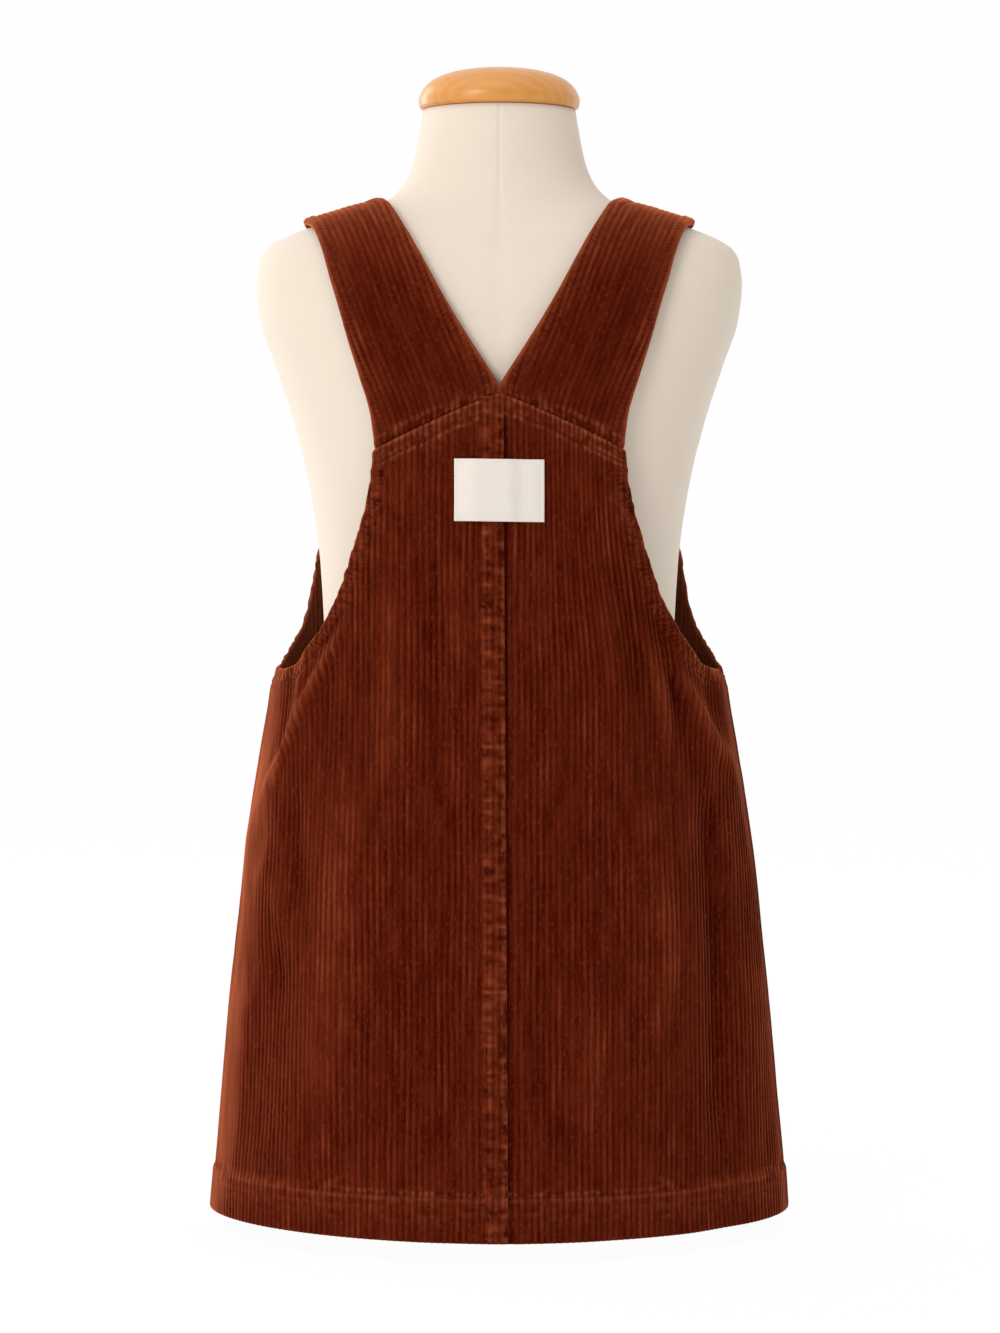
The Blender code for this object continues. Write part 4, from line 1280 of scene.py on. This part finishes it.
def strapSurface():
    # the left strap's plain lattice, its rows from under the back's top edge over the shoulder to the bib
    share = np.linspace(0, 1, strap["columns"])
    coarse = np.linspace(0, 1, 13)

    def aboveSeam(turn):
        # how far the strap is above where it tucks under the back's top edge
        point = strapPoint(coarse, turn)
        return point[:, 2] - backTopHeight(point[:, 0]) + strap["tuck"]

    def belowEnd(turn):
        # how far it is below its end, which is rounded at the corners
        end = strap["end"] + strap["endRound"] * np.abs(2 * coarse - 1) ** 5
        return end - strapPoint(coarse, turn)[:, 2]

    low, top, far = (np.full(13, float(turn)) for turn in (-42, 90, 230))
    first = np.interp(share, coarse, rootOf(aboveSeam, low, top))
    last = curveAt(share, coarse, rootOf(belowEnd, top, far))
    rowShare = np.linspace(0, 1, strap["rows"])[:, None]
    turn = first + (last - first) * rowShare
    return strapPoint(share + 0 * rowShare, turn), turn


strapNapAndLight = {
    # painted sheen highlights along the folded edges, a painted highlight over the shoulder, and painted
    # shade in the back seam's hollow
    "rim": (1.5, 0.0017),  # light along its folded edges: strength and half width
    "edge": (0.36, 0.0032),  # the same, falling off more slowly: strength and reach
    "middle": -0.10,
    "overTop": 0.85,  # on the shoulder, where the light falls along the wales
    "hollowShade": (0.7, 0.0017),  # dark in the hollow of the back's top seam
}


def makeStrap(node, side, seed, base, turn):
    # the plain lattice moved out along its normals by stitched folds on all four sides, wales and waves
    look = strapNapAndLight
    normals = gridNormals(base)
    zeros = np.zeros_like(base[..., :1])
    steps = np.linalg.norm(np.diff(base, axis=1), axis=-1)
    width = np.cumsum(np.concatenate((zeros[:, :1, 0], steps), axis=1), axis=1)
    steps = np.linalg.norm(np.diff(base, axis=0), axis=-1)
    run = np.cumsum(np.concatenate((zeros[:1, :, 0], steps)), axis=0) - strap["tuck"]
    fromInner, fromOuter, fromEnd = width, width[:, -1:] - width, run[-1:] - run
    line = strap["waleLine"]
    across = fromOuter * line - fromInner * (1 - line) + 0.1
    stitch = seamLook["strapStitch"]
    # for each edge the distance from it, the place along it (each starts elsewhere) and its stitched fold
    edges = [
        (fromInner, run + 2.0, stitchedEdge(fromInner, run, stitch, seed, strength=0.45)),
        (fromOuter, run + 3.0, stitchedEdge(fromOuter, run, stitch, seed + 3, strength=0.45)),
        (run, 0.4 * width + 4.0, stitchedEdge(run, width, seamLook["strapTopStitch"], seed + 6, 1, 0.6)),
        (fromEnd, 0.4 * width + 5.0, stitchedEdge(fromEnd, width, stitch, seed + 8, crossing=1)),
    ]
    masks = np.stack([edge[2][2] for edge in edges])
    chosen = masks.argmax(axis=0)
    edgeAway = np.minimum(fromInner, fromOuter)
    middle = smoothStep(0.006, 0.016, edgeAway)
    overTop = smoothStep(20, 70, turn) * (1 - smoothStep(110, 150, turn))
    # painted highlights along the edges and over the shoulder, less painted shade in the seam's hollow
    rim = bell(edgeAway, look["rim"][1]) * (1 - 0.8 * overTop)
    shade = lineAt(np.maximum(run, 0), look["hollowShade"][0], 0, look["hollowShade"][1])
    naplight = look["rim"][0] * rim + look["edge"][0] * fading(edgeAway, look["edge"][1])
    values = {
        "pressed": masks.max(axis=0),
        "ridged": 0.45 * np.choose(chosen, [edge[2][3] for edge in edges]),
        "seamRun": np.choose(chosen, [edge[1] for edge in edges]),
        "seamAway": np.choose(chosen, [edge[0] for edge in edges]),
        "naplight": naplight + look["middle"] * middle + look["overTop"] * overTop - shade,
        "worn": 0.55 * middle * (1 - overTop),
    }

    wander = waleWander(across, run, seed + 9)
    flat = np.maximum.reduce([edge[2][1] for edge in edges])
    uneven = 1 + 0.30 * softNoise(across / waleWidth, run / 0.016, seed + 10)
    rise, reach = strap["topHollow"]
    relief = sum(edge[2][0] for edge in edges) + rise * fading(np.maximum(run, 0), reach)
    relief = relief - strap["tuckDepth"] * smoothStep(0.0007, -strap["tuck"], run)
    wale = seamLook["waleRise"] * strap["waleShare"] * (waleProfile(across + wander) * uneven - 0.6)
    relief = relief + wale * (1 - flat) + layeredNoise(across, run, seed, strap["waves"])
    thickness = strap["thickness"] * (1 - 0.4 * smoothStep(0.001, -strap["tuck"], run))
    mirror = np.array((side, 1, 1))
    outer = ((base + relief[..., None] * normals) * mirror)[:, ::side]
    inner = ((base - thickness[..., None] * normals) * mirror)[:, ::side]
    flatPlace = np.stack([across + wander, run], -1)[:, ::side]
    values = {key: value[:, ::side] for key, value in values.items()}
    made = shell(node + "_cloth", outer, inner, flatPlace, values, corduroySides)
    place(made, "corduroy", node)


strapBase, strapTurn = strapSurface()
print("strap surface found")
makeStrap("strap_left", 1, 120, strapBase, strapTurn)
makeStrap("strap_right", -1, 140, strapBase, strapTurn)
print("straps made")


welt = {
    "width": 0.012,
    "drop": 0.0018,
    "thickness": 0.0012,
    "out": 0.0017,
    "stitches": (0.0016, 0.0085),  # distances of its two rows from the folded edge
    "rowHalf": 0.0026,
    "runOut": 0.0035,  # width over which its other edge runs out
    "bars": ((1.0, 0.0018, 0.0080, 0), (0.6, 0.0042, 0.0040, 2)),  # short ridges across the seam
    "barRise": 0.00048,
    "shift": 0.0004,  # sideways, of its wales
    "columns": 34,
    "rows": 560,
}


def makeWelt(node):
    # the felled seam's upper layer: its folded edge stands up, its other edge runs out into the panel, and
    # between them bars of noise cross it, strongest on its two rows of stitches
    top = backPanel["topMiddle"] - welt["drop"]
    height = np.linspace(backPanel["hem"] + 0.0004, top, welt["rows"])[:, None]
    away = np.linspace(0, welt["width"], welt["columns"])
    x = np.interp(height, (backPanel["hem"], backPanel["topMiddle"]), weltFold) + away
    height = height + 0 * x
    away = away + 0 * x
    rows = sum(bell(away - stitch, welt["rowHalf"]) for stitch in welt["stitches"])
    bars = layeredNoise(height, away, 172, welt["bars"]) * (0.3 + 0.7 * rows)
    wander = waleWander(x, height, 164)
    wale = seamLook["waleRise"] * 0.8 * (waleProfile(x + wander + welt["shift"]) - 0.55)
    runOut = smoothStep(welt["width"] - welt["runOut"], welt["width"], away)
    topDip = stitchedEdge(top - height, x, seamLook["straightstitch"] - welt["drop"], 168)
    relief = welt["barRise"] * bars - 0.0003 * rows + wale * (1 - (0.3 + 0.3 * rows))
    relief = relief - 0.0010 * fading(away, 0.0005) - 0.0016 * runOut + 0.8 * topDip[0]
    angle = angleAtX(x, height)
    outer = garmentPoint(angle, height, welt["out"] + relief)
    inner = garmentPoint(angle, height, welt["out"] - welt["thickness"] - 0.0008 * runOut)
    uneven = 0.75 + 0.4 * softNoise(height / 0.012, away / 0.006, 169)
    # painted highlight along the folded edge, uneven along it
    rim = (0.5 + 0.8 * softNoise(height / 0.0026, 0 * away, 175)) * bell(away, 0.0012)
    values = {
        "pressed": np.maximum(0.16 + 0.30 * rows, topDip[2]) * uneven,
        "ridged": 0 * x,
        "seamRun": 0.55 * height + 6.0,
        "seamAway": away * 1.2,
        # painted light and shade following the folds and the raised bars, and the edge's painted highlight
        "naplight": 0.05 + foldLightAndShade(angle, height) + 0.95 * bars + rim,
        "worn": 0.35 + 0 * x,
    }
    flatPlace = np.stack([x + wander + welt["shift"], height], -1)
    made = shell(node + "_cloth", outer, inner, flatPlace, values, corduroySides)
    place(made, "corduroy", node)


makeWelt("centre_back_welt")

label = {
    "width": 0.043,
    "tall": 0.030,
    "height": 0.3655,
    "crest": 0.0036,  # the middle of the felled seam that it lies over
    "flat": 0.0015,  # how far past the seam's width it stays up, and how far it then takes to come down
    "ramp": 0.008,
    "weltStep": 0.0017,
    "thickness": 0.0008,
    "out": 0.0013,
    "bow": 0.010,
    "bulge": 0.0005,
    "stitchLine": (0.00025, 0.0016, 0.0004),  # depth, distance from the edge and half width
    "stitchRows": (6, -7),  # the rows of its lattice that its stitches follow
    "columns": 90,
    "rows": 62,
}


def makeLabel(node):
    # a woven rectangle over the felled seam: its height is a step over
    # the seam, rounded edges, a furrow along its stitches and a soft wave
    u = np.linspace(-0.5, 0.5, label["columns"])
    v = np.linspace(-0.5, 0.5, label["rows"])[:, None]
    x = label["width"] * u + 0 * v
    height = label["height"] + label["tall"] * (v + label["bow"] * np.sin(2.2 * u))
    beyond = np.abs(x - label["crest"]) - welt["width"] / 2 - label["flat"]
    lifted = label["out"] + label["weltStep"] * (1 - smoothStep(0, label["ramp"], beyond))
    edge = np.minimum(label["width"] * (0.5 - np.abs(u)), label["tall"] * (0.5 - np.abs(v)))
    bulge = label["bulge"]
    relief = bulge * softNoise(x / 0.012, height / 0.011, 180) - bulge * fading(edge, 0.0006)
    relief = relief + bulge * smoothStep(0.001, 0.006, edge) + bulge - lineAt(edge, *label["stitchLine"])
    angle = angleAtX(x, height)
    outer = garmentPoint(angle, height, lifted + relief)
    inner = garmentPoint(angle, height, lifted - label["thickness"])
    flat = np.stack([x, height], -1)
    made = shell(node + "_twill", outer, inner, flat, {"pressed": 0 * x}, [labelTwill, labelTwill])
    place(made, "label_twill", node)
    return outer


labelPoints = makeLabel("back_label")
print("seam and label made")


formSections = table(
    sectionColumns,
    (0.0000, 0.0860, 0.0000, 0.0520, 0.0520, 2.30),
    (0.0060, 0.0940, 0.0000, 0.0640, 0.0640, 2.30),
    (0.0180, 0.0980, 0.0000, 0.0720, 0.0720, 2.30),
    (0.0400, 0.1000, -0.0010, 0.0770, 0.0770, 2.25),
    (0.0850, 0.1020, -0.0010, 0.0800, 0.0800, 2.20),
    (0.1300, 0.1025, -0.0010, 0.0820, 0.0820, 2.20),
    (0.1800, 0.1000, -0.0020, 0.0810, 0.0810, 2.15),
    (0.2300, 0.0935, -0.0060, 0.0765, 0.0765, 2.10),
    (0.2850, 0.0875, -0.0070, 0.0710, 0.0710, 2.10),
    (0.3300, 0.0895, -0.0050, 0.0690, 0.0690, 2.15),
    (0.3700, 0.0950, -0.0020, 0.0700, 0.0700, 2.20),
    (0.4000, 0.1023, 0.0000, 0.0710, 0.0710, 2.25),
    (0.4300, 0.1120, 0.0020, 0.0690, 0.0690, 2.30),
    (0.4510, 0.1190, 0.0030, 0.0640, 0.0640, 2.30),
    (0.4690, 0.1210, 0.0040, 0.0570, 0.0570, 2.30),
    (0.4810, 0.1195, 0.0045, 0.0500, 0.0500, 2.25),
    (0.4870, 0.1160, 0.0050, 0.0455, 0.0455, 2.20),
    (0.4920, 0.1080, 0.0050, 0.0420, 0.0420, 2.15),
    (0.4965, 0.0970, 0.0045, 0.0390, 0.0390, 2.10),
    (0.5030, 0.0775, 0.0030, 0.0370, 0.0370, 2.10),
    (0.5085, 0.0610, 0.0010, 0.0365, 0.0365, 2.05),
    (0.5140, 0.0525, 0.0000, 0.0360, 0.0360, 2.00),
    (0.5220, 0.0465, -0.0020, 0.0355, 0.0355, 2.00),
    (0.5320, 0.0428, -0.0030, 0.0350, 0.0350, 2.00),
    (0.5450, 0.0402, -0.0040, 0.0345, 0.0345, 2.00),
    (0.5572, 0.0382, -0.0050, 0.0335, 0.0335, 2.00),
)
capSections = table(
    sectionColumns,
    (0.5577, 0.0385, -0.0050, 0.0340, 0.0340, 2.00),
    (0.5590, 0.0400, -0.0050, 0.0355, 0.0355, 2.00),
    (0.5625, 0.0404, -0.0050, 0.0359, 0.0359, 2.00),
    (0.5665, 0.0390, -0.0050, 0.0345, 0.0345, 2.00),
    (0.5710, 0.0352, -0.0050, 0.0310, 0.0310, 2.00),
    (0.5742, 0.0296, -0.0050, 0.0260, 0.0260, 2.00),
    (0.5764, 0.0222, -0.0050, 0.0195, 0.0195, 2.00),
    (0.5778, 0.0130, -0.0050, 0.0114, 0.0114, 2.00),
    (0.5783, 0.0050, -0.0050, 0.0044, 0.0044, 2.00),
)
formSeam = {"half": 0.0009, "depth": 0.0005}


def spaced(*stretches):
    # heights evenly spaced within each stretch of (from, to, how many), every height once
    return np.unique(np.concatenate([np.linspace(*stretch) for stretch in stretches]))


def makeLoft(name, sections, heights, sides, material, groove=0.0):
    # level rings through the sections, with a narrow bell of a groove as the seam at the centre back
    angle = np.linspace(0, 2 * math.pi, sides, endpoint=False)
    angle = angle - 0.45 * np.sin(2 * angle) / 2  # closer points at back and front
    off = np.abs(np.sin(angle)) * 0.06 + 10 * (np.cos(angle) < 0)
    out = -groove * bell(off, formSeam["half"])
    rings = ringPoint(sections, angle, heights[:, None], out + 0 * heights[:, None])
    ends = [[0, sections["centre"][row], heights[row]] for row in (0, -1)]
    return putRings(name, np.concatenate((rings.reshape(-1, 3), ends)), sides, [material])


formHeights = spaced((0, 0.04, 12), (0.05, 0.40, 22), (0.41, 0.5572, 60))
torso = makeLoft("form_torso_cover", formSections, formHeights, 200, formCover, formSeam["depth"])
place(torso, "form_cover", "form_torso")
capHeights = spaced((0.5577, 0.5745, 34), (0.5745, 0.5783, 18))
place(makeLoft("neck_cap_turned", capSections, capHeights, 128, capWood), "cap_wood", "neck_cap")
print("form made")


button = {
    "radius": 0.009,
    "thickness": 0.0034,
    "dish": 0.0012,
    "rim": 0.0014,
    "lift": 0.0005,
    "turn": 215,
    "holeSpread": 0.0021,
    "sides": 72,
}


def makeButton(node, side):
    # a dished disc with a rounded rim, turned about the strap's normal where it lies
    shares, turns = np.array((0.5, 0.5, 0.6)), button["turn"] + np.array((0.0, 1.0, 0.0))
    middle, along, beside = strapPoint(shares, turns)
    normal = unit(np.cross(along - middle, beside - middle)) * (side, 1, 1)
    r, t, rim, dish = button["radius"], button["thickness"], button["rim"], button["dish"]
    turnProfile = (
        (0, 0), (r - rim, 0), (r - 0.5 * rim, 0.18 * t), (r - 0.1 * rim, 0.45 * t), (r, 0.62 * t),
        (r - 0.12 * rim, 0.82 * t), (r - 0.45 * rim, 0.96 * t), (r - 0.8 * rim, t),
        (r - 1.25 * rim, 0.96 * t), (r - 1.7 * rim, t - 0.6 * dish), (r - 2.3 * rim, t - dish),
        (0.4 * r, t - 1.1 * dish), (0, t - 1.15 * dish),
    )
    centre = middle * (side, 1, 1) + button["lift"] * normal
    made = turned(node + "_turned", turnProfile, button["sides"], [buttonHorn], centre, normal)
    place(made, "button_plastic", node)
    return centre, normal


eyes = [makeButton("button_left", 1), makeButton("button_right", -1)]

stitchLook = {
    "sunk": -0.0003,  # where the stitches' middles are, over the plain cloth
    "proud": 0.0001,  # the same beside the back's folded top edge
    "sideSink": ((0.0003, 0.030), (0.0006, 0.012)),  # depths and reaches of how they go down at a side seam
    "weltSink": 0.0009,
    "onLabel": {"length": 0.0013, "gap": 0.0006, "radius": 0.00014},
    "onButton": {"length": 0.0036, "gap": 0.0002, "radius": 0.00024},
    "strands": (-0.0005, 0.0, 0.0005),
    "strandRise": 0.0003,
}


def buttonStitches(centre, normal):
    # two crossed bars of thread strands over the button's eye, each strand a low parabola
    rows = []
    for sign in (1, -1):
        for shift in stitchLook["strands"]:
            ends = np.array(((-1, -sign, 0), (1, sign, 0))) * button["holeSpread"] * 0.75
            ends = ends + np.array((shift, -sign * shift, 0))
            points = np.linspace(ends[0], ends[1], 7)
            arch = stitchLook["strandRise"] * (1 - np.linspace(-1, 1, 7) ** 2)
            points[:, 2] = button["thickness"] - button["dish"] + arch
            rows.append((points @ turnTo(normal).T + centre, np.repeat(normal[None], 7, axis=0)))
    return rows


def edgeRow(panel, edge, away, side, lift, armhole=False):
    # a row of points a set distance inside a panel's edge, with
    # outward normals; an armhole's is drawn in under the arm
    piece, arcMap, edges = panel
    step = np.diff(edge, axis=0)
    outward = unit(np.stack([-step[:, 1], step[:, 0]], -1))
    outward = np.concatenate((outward, outward[-1:]))
    flat = edge - away * outward
    last = edge[:, 0].max() - (piece["stitchEnd"] if armhole else 0.0010)
    flat = flat[(flat[:, 0] > 0.0008) & (flat[:, 0] < last) & (flat[:, 1] > piece["hem"])]
    across, along = flat.T
    if armhole:
        awaySide, _, _ = nearestOn(edges[2][::8], across, along)
        for depth, reach in stitchLook["sideSink"]:
            lift = lift - depth * fading(awaySide, reach)
        lift = lift + drawnIn(piece, away, awaySide)
    angle = turnOf(piece, arcMap.angle(across, along), side)
    points = garmentPoint(angle, along, lift)
    return points, unit(garmentPoint(angle, along, lift + 0.001) - points)


def strapRow(side, fromInner):
    # a row of points a set distance inside a strap's folded edge, between the columns of its lattice
    normals = gridNormals(strapBase)
    widths = np.linalg.norm(np.diff(strapBase, axis=1), axis=-1).sum(axis=1)
    share = seamLook["strapStitch"] / widths
    column = (share if fromInner else 1 - share) * (strap["columns"] - 1)
    low = np.floor(column).astype(int)
    part = (column - low)[:, None]
    row = np.arange(strap["rows"])
    line = strapBase[row, low] * (1 - part) + strapBase[row, low + 1] * part
    up, mirror = normals[row, low], np.array((side, 1, 1))
    return (line - 0.0002 * up) * mirror, up * mirror


def weltRow(stitch):
    # a row of points down the felled seam, a set distance from its fold
    height = np.linspace(backPanel["hem"] + 0.002, backPanel["topMiddle"] - 0.004, 300)
    fold = np.interp(height, (backPanel["hem"], backPanel["topMiddle"]), weltFold)
    angle = angleAtX(fold + stitch, height)
    points = garmentPoint(angle, height, welt["out"] - stitchLook["weltSink"])
    return points, unit(garmentPoint(angle, height, welt["out"] + 0.001) - points)


seamRows = []
backSide, frontSide = (backPanel, backMap, backEdges), (frontPanel, frontMap, frontEdges)
sunk, proud = stitchLook["sunk"], stitchLook["proud"]
for side in (1, -1):
    seamRows.append(edgeRow(backSide, backEdges[0], seamLook["straightstitch"], side, sunk))
    seamRows.append(edgeRow(backSide, backEdges[0], seamLook["edgeStitch"], side, proud))
    seamRows.append(edgeRow(backSide, backEdges[1], seamLook["topstitch"], side, sunk, armhole=True))
    seamRows.append(edgeRow(frontSide, frontEdges[0], seamLook["straightstitch"], side, sunk))
    seamRows.append(edgeRow(frontSide, frontEdges[1], seamLook["topstitch"], side, sunk, armhole=True))
    for panel in (backSide, frontSide):
        piece, _, edges = panel
        reach = np.linspace(0.001, edges[2][-1, 0] - 0.002, 200)
        hemLine = np.stack([reach, piece["hem"] + 0 * reach], -1)
        seamRows.append(edgeRow(panel, hemLine, -seamLook["hemstitch"], side, sunk))
    seamRows += [strapRow(side, True), strapRow(side, False)]
seamRows += [weltRow(stitch) for stitch in welt["stitches"]]
place(stitchRows("topstitches", seamRows, threadLook), "corduroy")

labelNormals = gridNormals(labelPoints)[:, 3:-3]
labelLines = labelPoints[:, 3:-3] - 0.0001 * labelNormals
labelRows = [(labelLines[row], labelNormals[row]) for row in label["stitchRows"]]
place(stitchRows("label_stitches", labelRows, labelThread, stitchLook["onLabel"]), "label_twill")
eyeRows = [row for eye in eyes for row in buttonStitches(*eye)]
place(stitchRows("button_thread", eyeRows, threadLook, stitchLook["onButton"]), "button_plastic")
print("stitches made")


def makeFloor():
    # one square that glows almost white, so that only a soft shadow shows on it
    mesh = bpy.data.meshes.new("floor")
    mesh.from_pydata([(-6, -6, 0), (6, -6, 0), (6, 6, 0), (-6, 6, 0)], [], [(0, 1, 2, 3)])
    look = {"Specular_IOR_Level": 0.0, "Emission_Color": (1, 1, 1, 1), "Emission_Strength": 0.96}
    mesh.materials.append(makePlain("litFloor", (0.045, 0.045, 0.045), 0.9, **look))
    toScene("floor", mesh)


studio = {
    "backdrop": 0.995,
    "dimSide": 0.32,
    "dimFrom": 0.20,
    "dimTo": 0.75,
    "dimRight": 0.18,
    "lights": {  # place, where it points, size and power
        "topLight": ((0.25, 0.55, 2.0), (0, 0, 0.45), (1.2, 0.8), 3.5),
        "keyLight": ((1.35, 2.2, 1.15), (0, 0, 0.3), (1.0, 1.4), 30),
        "leftRimLight": ((1.5, -1.3, 0.8), (0, 0, 0.3), (0.5, 1.6), 14),
        "rightRimLight": ((-1.3, -1.5, 0.8), (0, 0, 0.3), (0.5, 1.6), 1.5),
    },
    "camera": (0, 1.8, 0.335),
    "lens": 97.2,
    "shift": (0.00056, -0.0844),
}


def addArea(name, spot, target, size, power):
    # a white rectangle of light, turned to its target
    light = bpy.data.lights.new(name, "AREA")
    light.shape = "RECTANGLE"
    light.size, light.size_y = size
    light.energy = power
    made = toScene(name, light)
    made.location = spot
    made.rotation_euler = (Vector(target) - Vector(spot)).to_track_quat("-Z", "Y").to_euler()


def makeWorld():
    # white all round to the camera, but as a light it dims
    # towards +Y and -X, so that most of it comes from +X
    world = bpy.data.worlds.new("studioWorld")
    bpy.context.scene.world = world
    world.use_nodes = True
    world.node_tree.nodes.clear()
    n = Nodes(world.node_tree)
    direction = n.add("ShaderNodeTexCoord").outputs["Generated"]
    strength = n.add("ShaderNodeMapRange", {
        "Value": n.part(direction, "Y"), "From Min": studio["dimFrom"], "From Max": studio["dimTo"],
        "To Min": studio["backdrop"], "To Max": studio["dimSide"],
    }, interpolation_type="SMOOTHSTEP").outputs["Result"]
    sideways = n.scaled(n.math("MINIMUM", n.part(direction, "X"), 0.0), studio["dimRight"], 1.0)
    seen = n.times(n.add("ShaderNodeLightPath").outputs["Is Camera Ray"], studio["backdrop"])
    strength = n.math("MAXIMUM", n.times(strength, sideways), seen)
    background = n.add("ShaderNodeBackground", {"Color": (1, 1, 1, 1), "Strength": strength})
    n.add("ShaderNodeOutputWorld", {"Surface": background.outputs["Background"]})


def makeCamera():
    # level, looking at the back from straight behind it
    data = bpy.data.cameras.new("camera")
    data.lens = studio["lens"]
    data.shift_x, data.shift_y = studio["shift"]
    camera = toScene("camera", data)
    camera.location = studio["camera"]
    camera.rotation_euler = (math.pi / 2, 0, math.pi)
    bpy.context.scene.camera = camera


makeFloor()
for name, light in studio["lights"].items():
    addArea(name, *light)
makeWorld()
bpy.context.scene.view_settings.view_transform = "Standard"
makeCamera()
print("stage made")
